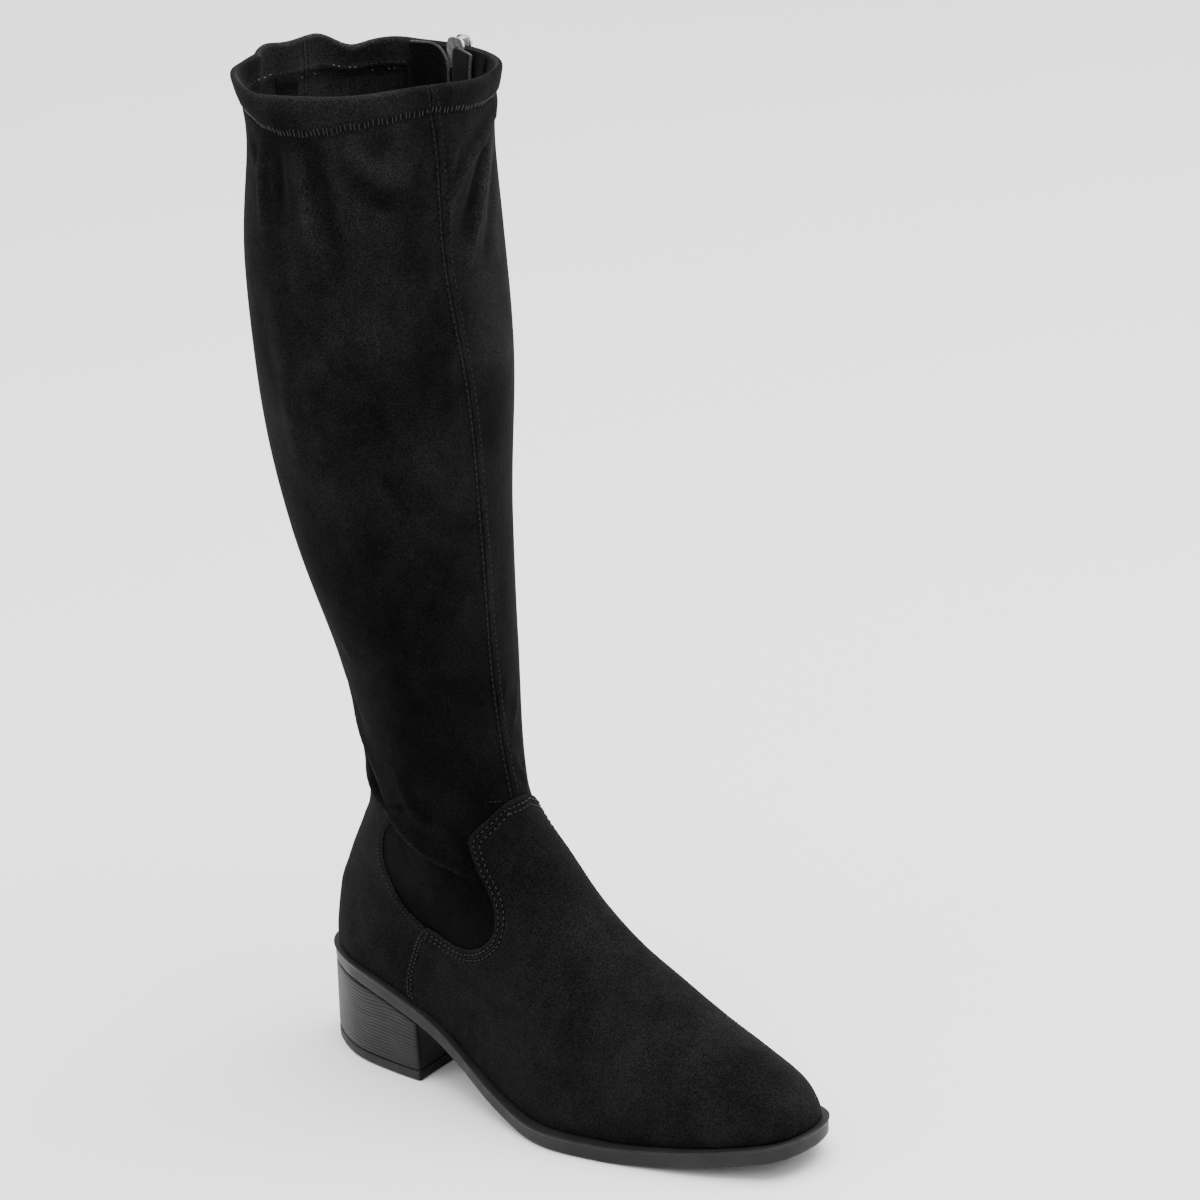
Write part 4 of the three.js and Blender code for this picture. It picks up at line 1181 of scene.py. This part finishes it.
def sew(place, sewn, radius, steps=5):
    """Lines and normals of stitches on a surface, sunk at both ends, from pairs of starts and ends (n, 2)."""
    starts, ends = (np.concatenate(side)[:, None] for side in zip(*sewn))
    shares = np.linspace(0, 1, steps)
    spots = mix(starts, ends, shares[:, None])
    turn, row = spots[..., 0], spots[..., 1]
    bow = radius * (1.5 * (1 - (2 * shares - 1) ** 2) - 0.55)
    middle = steps // 2
    return place(turn, row, bow), outward(turn[:, middle], row[:, middle])


def along_path(place, path, stitch):
    """Starts and ends of even stitches along a path of turns and rows."""
    pitch, reach = stitch
    gone = travelled(place(path[:, 0], path[:, 1], 0))
    begins = np.arange(pitch * 0.4, gone[-1] - reach, pitch)
    return at_places(path, gone, begins), at_places(path, gone, begins + reach)


def thread(name, place, sewn, radius):
    return beads(name, *sew(place, sewn, radius), radius)


def holes(name, place, sewn, radius, overrun=0.3):
    """The needle's holes at the ends of stitches, as shallow pits whose near-black colour is painted shade.
    """
    pits = []
    for starts, ends in sewn:
        along = ends - starts
        for spot, way in ((starts, -along), (ends, along)):
            pits.append((spot - way * 0.02, spot + way * overrun))
    lines, normals = sew(place, pits, 0.05, 4)
    return beads(name, lines - normals[:, None, :] * (radius - 0.1), normals, radius, blunt=0.9)


def on_cover(angle, row, lift):
    return cover(angle, row, COVER_FACE + lift)


def on_seam(angle, row, lift):
    """The vamp's face where it is raised over the counter."""
    places = np.stack([np.ravel(angle), np.ravel(row)], -1)
    return on_cover(angle, row, lift + raised(from_seam(places)).reshape(np.shape(angle)))


def in_collar(angle, row, lift):
    """The lining's face inside the collar."""
    return cloth(angle, row, -UPPER_WALL - lift - (1 + HEM_INSIDE) * hem(angle, row))


def seam_rows(centre, side, low):
    """Two rows of stitches on the cloth up the wall, one on each side of a seam's line."""
    rows = np.linspace(low, row_below_rim(1.5), 500)
    paths = [np.column_stack([beside(centre, distance, rows), rows]) for distance in (-side, side)]
    return [along_path(cloth, path, SEAM_STITCH) for path in paths]


def front_seam_sewn():
    bar = np.column_stack([np.radians(np.linspace(27, 13, 20)), np.linspace(9.72, 9.66, 20)])
    return [*seam_rows(0, FRONT_SEAM_SIDE, 9.62), along_path(cloth, bar, BAR_STITCH)]


def zip_sewn():
    """The rows of stitches that hold the cloth to the zip's tapes."""
    rows = np.linspace(SLIT_BOTTOM_ROW, row_below_rim(14.5), 700)
    sewn = []
    for side in (-ZIP_SIDE, ZIP_SIDE):
        sewn.append(along_path(cloth, np.column_stack([beside_zip(side, rows), rows]), ZIP_STITCH))
    for drop in (0.04, 0.1):
        low = np.full(40, SLIT_BOTTOM_ROW - drop)
        across = beside_zip(np.linspace(-ZIP_SIDE, ZIP_SIDE, 40), low)
        sewn.append(along_path(cloth, np.column_stack([across, low]), ZIP_END_STITCH))
    return sewn


def round_collar(drop):
    """A path round the collar at a drop below the hem's edge, from one side of the slit to the other."""
    row = row_below_rim(12)
    start = beside_zip(SLIT_HALF + 2, row)
    end = beside_zip(-SLIT_HALF - 2, row) + 2 * np.pi
    angle = np.linspace(start, end, 700)
    return np.column_stack([angle, row_below_rim(hem_height(angle) + drop)])


def hem_sewn():
    """Short upright stitches round the hem's edge, none quite like the next."""
    count = np.arange(HEM_STITCHES)
    shares = (count + 0.3 + 0.14 * np.sin(count * 2.1)) / HEM_STITCHES
    upper, lower = round_collar(-HEM_BAND), round_collar(HEM_BAND)
    known = np.linspace(0, 1, len(upper))
    head = at_places(upper, known, shares)
    foot = at_places(lower, known, shares + 0.2 / HEM_STITCHES)
    shorter = (0.1 + 0.1 * np.sin(count * 5.3))[:, None]
    return [(mix(head, foot, shorter), mix(foot, head, shorter[::-1] * 0.8))]


def collar_dots_sewn(bright):
    """The hem's two rows of stitches as they show inside; the few that catch the light get a painted glint, a
    lighter thread.
    """
    sewn = []
    for side in (-1, 1):
        starts, ends = along_path(in_collar, round_collar(side * HEM_BAND), HEM_DOT)
        count = np.arange(len(starts))
        lit = np.sin(count * 0.31 + side) + np.sin(count * 1.7) > 0.95
        chosen = lit if bright else ~lit
        sewn.append((starts[chosen], ends[chosen]))
    return sewn


TOP_SEARCH_ROW = 11
SEARCH_TURNS = 8


def find_places(spots, sign):
    """Turns and rows of places (n, 2) on an overlay's side view, on the lateral (+1) or medial side."""
    turns = np.radians(np.linspace(0.5, 179.5, 90)) * sign
    turn_grid, row_grid = (grid.ravel() for grid in np.meshgrid(turns, np.linspace(0, TOP_SEARCH_ROW, 111)))
    side = side_place(cover(turn_grid, row_grid, 1))
    pick = [int(np.argmin(((side - spot) ** 2).sum(axis=1))) for spot in spots]
    angle, row = turn_grid[pick], row_grid[pick]
    for _ in range(SEARCH_TURNS):
        here = side_place(cover(angle, row, 1))
        by_turn = (side_place(cover(angle + ANGLE_STEP, row, 1)) - here) / ANGLE_STEP
        by_row = (side_place(cover(angle, row + ROW_STEP, 1)) - here) / ROW_STEP
        miss = spots - here
        det = by_turn[:, 0] * by_row[:, 1] - by_turn[:, 1] * by_row[:, 0]
        det = np.where(np.abs(det) < 1e-3, np.inf, det)
        turn_step = (miss[:, 0] * by_row[:, 1] - miss[:, 1] * by_row[:, 0]) / det
        row_step = (by_turn[:, 0] * miss[:, 1] - by_turn[:, 1] * miss[:, 0]) / det
        angle = sign * np.clip((angle + np.clip(turn_step, -0.08, 0.08)) * sign, 0.001, np.pi - 0.001)
        row = np.clip(row + np.clip(row_step, -0.3, 0.3), 0, TOP_SEARCH_ROW)
    return np.column_stack([angle, row])


def inset_path(path, inset):
    """A path of turns and rows moved over the surface, to the left of its way seen from outside."""
    angle, row = path[:, 0], path[:, 1]
    points = cover(angle, row, 1)
    along = unit(np.gradient(points, axis=0))
    normal = outward(angle, row)
    left = unit(np.cross(normal, along)) * np.asarray(inset)
    by_turn, by_row = along_ring(angle, row), up_wall(angle, row)
    aa, ab, bb = (by_turn**2).sum(-1), (by_turn * by_row).sum(-1), (by_row**2).sum(-1)
    la, lb = (left * by_turn).sum(-1), (left * by_row).sum(-1)
    det = aa * bb - ab**2
    return path + np.column_stack([(la * bb - lb * ab) / det, (aa * lb - ab * la) / det])


def edge_path(shares, sign):
    """Path of an outline on one side, as far as the surface reaches it."""
    line = side_line(shares)
    path = find_places(line, sign)
    return path[length(side_place(cover(*path.T, 1)) - line) < 0.4]


def round_tongue():
    """The tongue's edge from its lateral foot over the front to its medial foot."""
    edge = np.vstack([edge_path(TONGUE_EDGE, 1)[::-1], edge_path(TONGUE_EDGE, -1)])
    return spline(edge[::3], 600)


def vamp_sewn():
    edge = round_tongue()
    sewn = [along_path(on_cover, inset_path(edge, -inset), TONGUE_STITCH) for inset in TONGUE_ROWS]
    for sign in (1, -1):
        seam = edge_path(QUARTER_SEAM, sign)
        for inset in SEAM_ROWS:
            path = inset_path(seam, sign * (inset - VAMP_OVERLAP))
            sewn.append(along_path(on_seam, path[path[:, 1] > 0.25], BAR_STITCH))
    return sewn


def counter_sewn():
    sewn = []
    for sign in (1, -1):
        path = inset_path(edge_path(COUNTER_EDGE[2:], sign), -sign * COUNTER_ROW)
        path = path[behind_zip(path[:, 0] % (2 * np.pi), path[:, 1]) > COUNTER_ROW]
        sewn.append(along_path(on_cover, path, COUNTER_STITCH))
    # Beside the zip the counter's edge runs up in line with it
    rows = np.linspace(path[:, 1].max(), COUNTER_TOP_ROW, 300)
    upright = np.column_stack([beside_zip(-COUNTER_TO_ZIP - COUNTER_ROW, rows), rows])
    sewn.append(along_path(on_cover, upright, COUNTER_STITCH))
    return sewn


# Materials
class Finish:
    """One procedural material, built node by node."""

    def __init__(self, name, **sockets):
        self.material = bpy.data.materials.new(name)
        self.material.use_nodes = True
        self.nodes = self.material.node_tree.nodes
        self.links = self.material.node_tree.links
        self.shader = self.nodes["Principled BSDF"]
        for key, value in sockets.items():
            self.shader.inputs[key.replace("_", " ")].default_value = value
        coordinates = self.nodes.new("ShaderNodeTexCoord").outputs
        self.place, self.normal = coordinates["Object"], coordinates["Normal"]

    def add(self, kind, inputs=None, **settings):
        node = self.nodes.new("ShaderNode" + kind)
        for key, value in settings.items():
            setattr(node, key, value)
        for key, value in (inputs or {}).items():
            socket = node.inputs[key]
            if isinstance(value, bpy.types.NodeSocket):
                self.links.new(value, socket)
            else:
                socket.default_value = value
        return node

    def noise(self, scale, detail=2, roughness=0.5, stretch=(1, 1, 1), distortion=0):
        mapped = self.add("Mapping", {"Vector": self.place, "Scale": stretch}).outputs[0]
        settings = {"Vector": mapped, "Scale": scale, "Detail": detail, "Roughness": roughness}
        return self.add("TexNoise", {**settings, "Distortion": distortion}).outputs[0]

    def ramp(self, factor, *stops):
        """Colours or greys at places along a factor."""
        node = self.add("ValToRGB", {"Fac": factor})
        points = node.color_ramp.elements
        while len(points) < len(stops):
            points.new(0.5)
        for point, (place, colour) in zip(points, stops):
            point.position = place
            shade = (colour,) * 3 if isinstance(colour, (int, float)) else colour
            point.color = (*shade, 1)
        return node.outputs[0]

    def blend(self, factor, first, second, mode="MIX"):
        inputs = {0: factor, 6: first, 7: second}
        node = self.add("Mix", inputs, data_type="RGBA", blend_type=mode)
        return node.outputs[2]

    def math(self, operation, first, second=0.0):
        return self.add("Math", {0: first, 1: second}, operation=operation).outputs[0]

    def bump(self, height, strength, distance, normal=None):
        inputs = {"Height": height, "Strength": strength, "Distance": distance}
        if normal is not None:
            inputs["Normal"] = normal
        return self.add("Bump", inputs).outputs[0]

    def mean(self, share, first, second):
        return self.add("Mix", {0: share, 2: first, 3: second}).outputs[0]

    def times(self, colour, shade):
        return self.blend(1.0, colour, shade, "MULTIPLY")

    def part(self, vector, axis):
        return self.add("SeparateXYZ", {0: vector}).outputs[axis]

    def bands(self, direction, **inputs):
        inputs = {"Vector": self.place, **{key.replace("_", " "): value for key, value in inputs.items()}}
        return self.add("TexWave", inputs, wave_type="BANDS", bands_direction=direction).outputs[1]

    def darker_ahead(self, colour, share):
        """The faces that look forward, the heel's breast, in a share of their colour."""
        ahead = self.math("MULTIPLY", self.part(self.normal, "Y"), -1)
        return self.times(colour, self.ramp(ahead, (0.4, 1.0), (0.8, share)))

    def finish(self, colour, roughness=None, normal=None):
        self.links.new(colour, self.shader.inputs["Base Color"])
        if roughness is not None:
            self.links.new(roughness, self.shader.inputs["Roughness"])
        if normal is not None:
            self.links.new(normal, self.shader.inputs["Normal"])
        return self.material


# Painted shade by height, given in half metres: the shaft darker low down and in a band below its rim, the
# overlays darker higher up, the lining and facings darker near the rim
LINING_HEIGHT_SHADE = ((0.85, 1.0), (0.91, 0.8))
OVERLAY_HEIGHT_SHADE = ((0.1, 1.0), (0.17, 0.94), (0.28, 0.74))
SHAFT_HEIGHT_SHADE = (
    (0.17, 0.27), (0.23, 0.44), (0.42, 0.52), (0.868, 1.0), (0.893, 0.64), (0.912, 0.62), (0.93, 1.0)
)


def suede_finish(name, dark, light, sheen, nap, tones=LINING_HEIGHT_SHADE, patch=0.7):
    """Brushed microsuede: patches of nap, fine fibres and faint hairs, with painted shade by height and by
    the mesh's pointiness.
    """
    tint = (0.9, 0.9, 0.92, 1)
    made = Finish(name, Sheen_Weight=sheen, Sheen_Roughness=0.45, Sheen_Tint=tint, Specular_IOR_Level=0.03)
    broad = made.noise(26, 3, 0.55, (1, 1, 0.75), 0.4)
    narrow = made.noise(130, 4, 0.62, (1, 1, 0.8))
    grain = made.noise(1400, 3, 0.65)
    patches = made.mean(0.38, broad, narrow)
    colour = made.ramp(made.mean(0.56, patches, grain), (0.38, dark), (0.62, light))
    colour = made.times(colour, made.ramp(broad, (0.36, patch), (0.64, 1.0)))
    colour = made.times(colour, made.ramp(grain, (0.38, 0.55), (0.62, 1.0)))
    # Loose hairs are where a wandering noise crosses its middle, and only here and there
    hairs = made.ramp(made.noise(420, 1, 0.4, (1, 1, 1), 1.2), (0.488, 0.0), (0.5, 1.0), (0.512, 0.0))
    sparse = made.ramp(made.noise(330, 1), (0.56, 0.0), (0.64, 0.55))
    colour = made.blend(made.math("MULTIPLY", hairs, sparse), colour, (0.014, 0.014, 0.015, 1))
    lint = made.ramp(made.noise(1100, 0), (0.79, 0.0), (0.86, 1.0))
    colour = made.blend(lint, colour, (0.025, 0.025, 0.026, 1))
    # Painted shade by height: the tones darken the colour low on the shaft, below the rim and high on the
    # overlays
    colour = made.times(colour, made.ramp(made.math("MULTIPLY", made.part(made.place, "Z"), 2), *tones))
    # Painted shade in the hollows and painted highlight on the ridges, from the mesh's pointiness; the nap on
    # the ridges is also rubbed lighter
    pointiness_shade = made.add("NewGeometry").outputs["Pointiness"]
    colour = made.times(colour, made.ramp(pointiness_shade, (0.45, 0.25), (0.5, 0.5), (0.56, 1.0)))
    normal = made.bump(made.noise(2600, 2, 0.6), 0.6, 0.0002)
    normal = made.bump(grain, 0.5, 0.0003, normal)
    normal = made.bump(narrow, nap, 0.001, normal)
    return made.finish(colour, made.ramp(patches, (0.3, 1.0), (0.7, 0.9)), normal)


def rubber_finish(name, dark, light, rough, grain, breast=1.0):
    """Moulded rubber: faintly uneven, with fine pits."""
    made = Finish(name, Specular_IOR_Level=0.16)
    colour = made.ramp(made.noise(55, 3), (0.35, dark), (0.65, light))
    shine = made.ramp(made.noise(90, 3), (0.35, rough), (0.65, rough + 0.12))
    normal = made.bump(made.noise(1700, 2, 0.6), grain, 0.0001)
    normal = made.bump(made.noise(140, 2), 0.12, 0.0006, normal)
    return made.finish(made.darker_ahead(colour, breast), shine, normal)


def heel_finish(name):
    """Stacked board: grey with fine uneven dark lines across it."""
    made = Finish(name, Specular_IOR_Level=0.16)
    lines = made.bands("Z", Scale=190, Distortion=9, Detail=4, Detail_Scale=0.22)
    tone = made.ramp(made.noise(70, 3, 0.5, (1, 1, 1.6)), (0.3, 0.012), (0.7, 0.02))
    sparse = made.ramp(made.noise(30, 3, 0.5, (1, 1, 10)), (0.38, 0.15), (0.6, 1.0))
    shown = made.math("MULTIPLY", made.ramp(lines, (0.1, 1.0), (0.42, 0.0)), sparse)
    colour = made.darker_ahead(made.blend(shown, tone, (0.003, 0.003, 0.003, 1)), 0.22)
    normal = made.bump(lines, 0.22, 0.0005)
    normal = made.bump(made.noise(1300, 2), 0.15, 0.0001, normal)
    return made.finish(colour, made.ramp(lines, (0.2, 0.58), (0.5, 0.44)), normal)


def woven_finish(name, dark, light, scale, rough=0.8):
    """Closely woven tape."""
    made = Finish(name, Sheen_Weight=0.05, Sheen_Roughness=0.5, Specular_IOR_Level=0.1)
    weave = made.math("MULTIPLY", made.bands("Z", Scale=scale), made.bands("DIAGONAL", Scale=scale))
    tone = made.mean(0.5, weave, made.noise(300, 3))
    colour = made.ramp(tone, (0.3, dark), (0.7, light))
    shine = made.ramp(tone, (0.3, rough), (0.7, rough - 0.15))
    return made.finish(colour, shine, made.bump(weave, 0.5, 0.0002))


def plain_finish(name, tones, cloud, shines, grain, bump=None, **sockets):
    """One noise for the colour, and another one for the shine and the fine relief."""
    made = Finish(name, **sockets)
    fine = made.noise(*grain)
    normal = made.bump(fine, *bump) if bump else None
    return made.finish(made.ramp(made.noise(*cloud), *tones), made.ramp(fine, *shines), normal)


def thread_finish(name, dark, light, shine=0.1):
    tones, shines = ((0.35, dark), (0.65, light)), ((0.3, 0.32), (0.7, 0.5))
    twist = (2200, 2)
    sockets = {"Sheen_Weight": 0.02, "Specular_IOR_Level": shine}
    return plain_finish(name, tones, twist, shines, twist, (0.4, 0.0001), **sockets)


def metal_finish(name):
    """Bright plated zinc with fine brushing."""
    tones, shines = ((0.3, 0.64), (0.7, 0.8)), ((0.35, 0.16), (0.65, 0.32))
    brushing = (900, 2, 0.5, (1, 1, 0.12))
    return plain_finish(name, tones, (260, 3), shines, brushing, (0.12, 0.0001), Metallic=0.86)


def nylon_finish(name):
    tones, shines = ((0.3, 0.004), (0.7, 0.009)), ((0.3, 0.25), (0.7, 0.4))
    return plain_finish(name, tones, (500, 2), shines, (500, 2), (0.1, 0.0001), Specular_IOR_Level=0.5)


def felt_finish(name, dark, light):
    tones, shines = ((0.3, dark), (0.7, light)), ((0.3, 0.85), (0.7, 0.97))
    sockets = {"Sheen_Weight": 0.02, "Specular_IOR_Level": 0.03}
    return plain_finish(name, tones, (60, 3), shines, (1500, 4, 0.7), (0.5, 0.0003), **sockets)


def floor_finish(name):
    tones, shines = ((0.2, 0.9), (0.8, 0.92)), ((0.2, 0.8), (0.8, 0.85))
    return plain_finish(name, tones, (3, 2), shines, (3, 2), Specular_IOR_Level=0.2)


# The camera stands where the photograph was taken from
CAMERA_AZIMUTH = math.radians(-48.56)
CAMERA_ELEVATION = math.radians(22.28)
CAMERA_ROLL = math.radians(-3.91)
CAMERA_DISTANCE = 2491.2
IMAGE = 1200
FOCUS = 5500
SENSOR = 36
ORIGIN_PIXEL = (401.0, 1036.5)


def add_camera():
    turn = Matrix.Rotation(CAMERA_AZIMUTH, 4, "Z")
    tip = Matrix.Rotation(math.pi / 2 - CAMERA_ELEVATION, 4, "X")
    roll = Matrix.Rotation(CAMERA_ROLL, 4, "Z")
    per_pixel = CAMERA_DISTANCE / FOCUS
    aside = (IMAGE / 2 - ORIGIN_PIXEL[0]) * per_pixel
    above = (ORIGIN_PIXEL[1] - IMAGE / 2) * per_pixel
    lens = bpy.data.cameras.new("camera")
    lens.sensor_width = SENSOR
    lens.lens = SENSOR * FOCUS / IMAGE
    lens.clip_end = 20
    camera = bpy.data.objects.new("camera", lens)
    spot = Vector((aside, above, CAMERA_DISTANCE)) * MM
    camera.matrix_world = turn @ tip @ roll @ Matrix.Translation(spot)
    bpy.context.scene.collection.objects.link(camera)
    bpy.context.scene.camera = camera


LIT_SPOT = Vector((0, -0.08, 0.2))


def add_light(name, spot, size, power):
    lamp = bpy.data.lights.new(name, "AREA")
    lamp.shape = "RECTANGLE"
    lamp.size, lamp.size_y = size
    lamp.energy = power
    light = bpy.data.objects.new(name, lamp)
    light.location = spot
    light.rotation_euler = (LIT_SPOT - Vector(spot)).to_track_quat("-Z", "Y").to_euler()
    bpy.context.scene.collection.objects.link(light)


# The sky's strength at the horizon and overhead, and the floor's size and level in metres
HORIZON_LIGHT = 0.3
ZENITH_LIGHT = 2.1
FLOOR_REACH = 6
FLOOR_LEVEL = -0.0002


def add_studio():
    world = bpy.data.worlds.new("studio")
    world.use_nodes = True
    nodes, links = world.node_tree.nodes, world.node_tree.links
    place = nodes.new("ShaderNodeTexCoord")
    height = nodes.new("ShaderNodeSeparateXYZ")
    brightness = nodes.new("ShaderNodeMapRange")
    limits = {"From Min": 0, "From Max": 0.9, "To Min": HORIZON_LIGHT, "To Max": ZENITH_LIGHT}
    for key, value in limits.items():
        brightness.inputs[key].default_value = value
    links.new(place.outputs["Generated"], height.inputs[0])
    links.new(height.outputs["Z"], brightness.inputs["Value"])
    links.new(brightness.outputs[0], nodes["Background"].inputs["Strength"])
    nodes["Background"].inputs["Color"].default_value = (1, 1, 1, 1)
    bpy.context.scene.world = world
    add_light("top", (0.2, -0.5, 2.2), (2, 2), 84)
    add_light("right", (1.7, -1.2, 1.1), (1.4, 1.6), 13)
    add_light("left", (-1.8, 0.9, 1.1), (1.2, 1.6), 12)
    floor = bpy.data.meshes.new("floor")
    signs = ((-1, -1), (1, -1), (1, 1), (-1, 1))
    corners = [(x * FLOOR_REACH, y * FLOOR_REACH, FLOOR_LEVEL) for x, y in signs]
    floor.from_pydata(corners, [], [(0, 1, 2, 3)])
    ground = bpy.data.objects.new("floor", floor)
    bpy.context.scene.collection.objects.link(ground)
    floor.materials.append(floor_finish("floor_paper"))


# Places of the two facings' near edges, for the zip_facing and piping of each
REAR_FACING = (-1, 16, 1.6)
FRONT_FACING = (1, 3.5, FACING_STAND_OFF)
METAL_ROUNDING = 0.0005


def build_boot():
    stretch = suede_finish("stretch_suede", 0.0065, 0.0288, 0.015, 0.4, SHAFT_HEIGHT_SHADE, 0.55)
    suede = suede_finish("firm_suede", 0.0074, 0.0252, 0.015, 0.25, OVERLAY_HEIGHT_SHADE, 0.8)
    sole = rubber_finish("sole_rubber", 0.011, 0.016, 0.42, 0.2)
    lift = rubber_finish("heel_lift", 0.016, 0.024, 0.5, 0.25, 0.25)
    tape = woven_finish("zip_tape_weave", 0.003, 0.008, 900)
    facing = suede_finish("facing_suede", 0.0125, 0.032, 0.03, 0.2)
    # Painted highlight: the bound edges are several times lighter than the facing to show the light along
    # them
    edging_highlight = suede_finish("edging_suede_highlight", 0.062, 0.125, 0.08, 0.2)
    black = thread_finish("thread", 0.003, 0.008)
    waxed = thread_finish("thread_waxed", 0.003, 0.009, 0.25)
    pale = thread_finish("thread_inside", 0.008, 0.022)
    # Painted glints: a lighter copy of the thread for the few inside stitches that show a highlight
    glint = thread_finish("thread_glint", 0.06, 0.14)
    # Painted shade: the needle holes are near-black to stand in for the shade inside them
    hole_shade = felt_finish("needle_hole_shade", 0.0008, 0.0016)
    metal = metal_finish("plated_metal")
    front, hem_rows, vamp_rows, counter_rows = front_seam_sewn(), hem_sewn(), vamp_sewn(), counter_sewn()
    back_rows = seam_rows(np.pi, BACK_SEAM_SIDE, 10)
    boot_shaft, outside = shaft()
    # Piece, material, slot and the CAD nodes that the piece stands for
    pieces = [
        (boot_shaft, stretch, "stretch_suede", "upper"),
        (vamp(), suede, "suede", "vamp"),
        (counter(), suede, "suede", "counter"),
        (outsole(), sole, "sole_rubber", "outsole"),
        (heel_stack(), heel_finish("heel_board"), "heel_stack", "heel_block"),
        (top_lift(), lift, "heel_lift", "heel_top_lift"),
        (insole_board(), felt_finish("insole_felt", 0.012, 0.025), "insole", "insole"),
        (zip_teeth(), nylon_finish("zip_nylon"), "coil", "zip_coil"),
        (zip_cord(), black, "coil"),
        (zip_tape("tape_rear", -1), tape, "tape", "zip_tape_rear"),
        (zip_tape("tape_front", 1), tape, "tape", "zip_tape_front"),
        (zip_facing("facing_rear", *REAR_FACING), facing, "facing", "zip_facing_rear"),
        (zip_facing("facing_front", *FRONT_FACING), facing, "facing", "zip_facing_front"),
        (piping("facing_piping", *REAR_FACING, 0.65), edging_highlight, "facing"),
        (tape_fold(), tape, "facing"),
        (tape_fold_edge(), edging_highlight, "facing"),
        (back_tape(), stretch, "facing"),
        (thread("front_seam_stitches", cloth, front, 0.24), black, "stretch_suede"),
        (holes("front_seam_holes", cloth, front, 0.32), hole_shade, "stretch_suede"),
        (thread("back_seam_stitches", cloth, back_rows, 0.24), black, "stretch_suede"),
        (thread("zip_stitches", cloth, zip_sewn(), 0.26), black, "stretch_suede"),
        (thread("hem_stitches", cloth, hem_rows, 0.26), waxed, "stretch_suede"),
        (holes("hem_holes", cloth, hem_rows, 0.34, 0.2), hole_shade, "stretch_suede"),
        (thread("collar_dots", in_collar, collar_dots_sewn(False), 0.22), pale, "stretch_suede"),
        (thread("collar_glints", in_collar, collar_dots_sewn(True), 0.32), glint, "stretch_suede"),
        (thread("vamp_stitches", on_seam, vamp_rows, 0.3), waxed, "suede"),
        (holes("vamp_holes", on_seam, vamp_rows, 0.46, 0.25), hole_shade, "suede"),
        (thread("counter_stitches", on_cover, counter_rows, 0.24), pale, "suede"),
    ]
    for piece, material, slot, *nodes in pieces:
        piece.data.materials.append(material)
        if nodes:
            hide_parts(*nodes)
    line_inside(boot_shaft, outside, suede_finish("lining_suede", 0.02, 0.062, 0.02, 0.2))
    for name in ("zip_slider", "zip_pull"):
        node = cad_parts[name]
        node.data.materials.clear()
        node.data.materials.append(metal)
        rounding = node.modifiers.new("rounding", "BEVEL")
        rounding.width = METAL_ROUNDING
        rounding.segments = 3


add_camera()
add_studio()
build_boot()
bpy.context.view_layer.update()
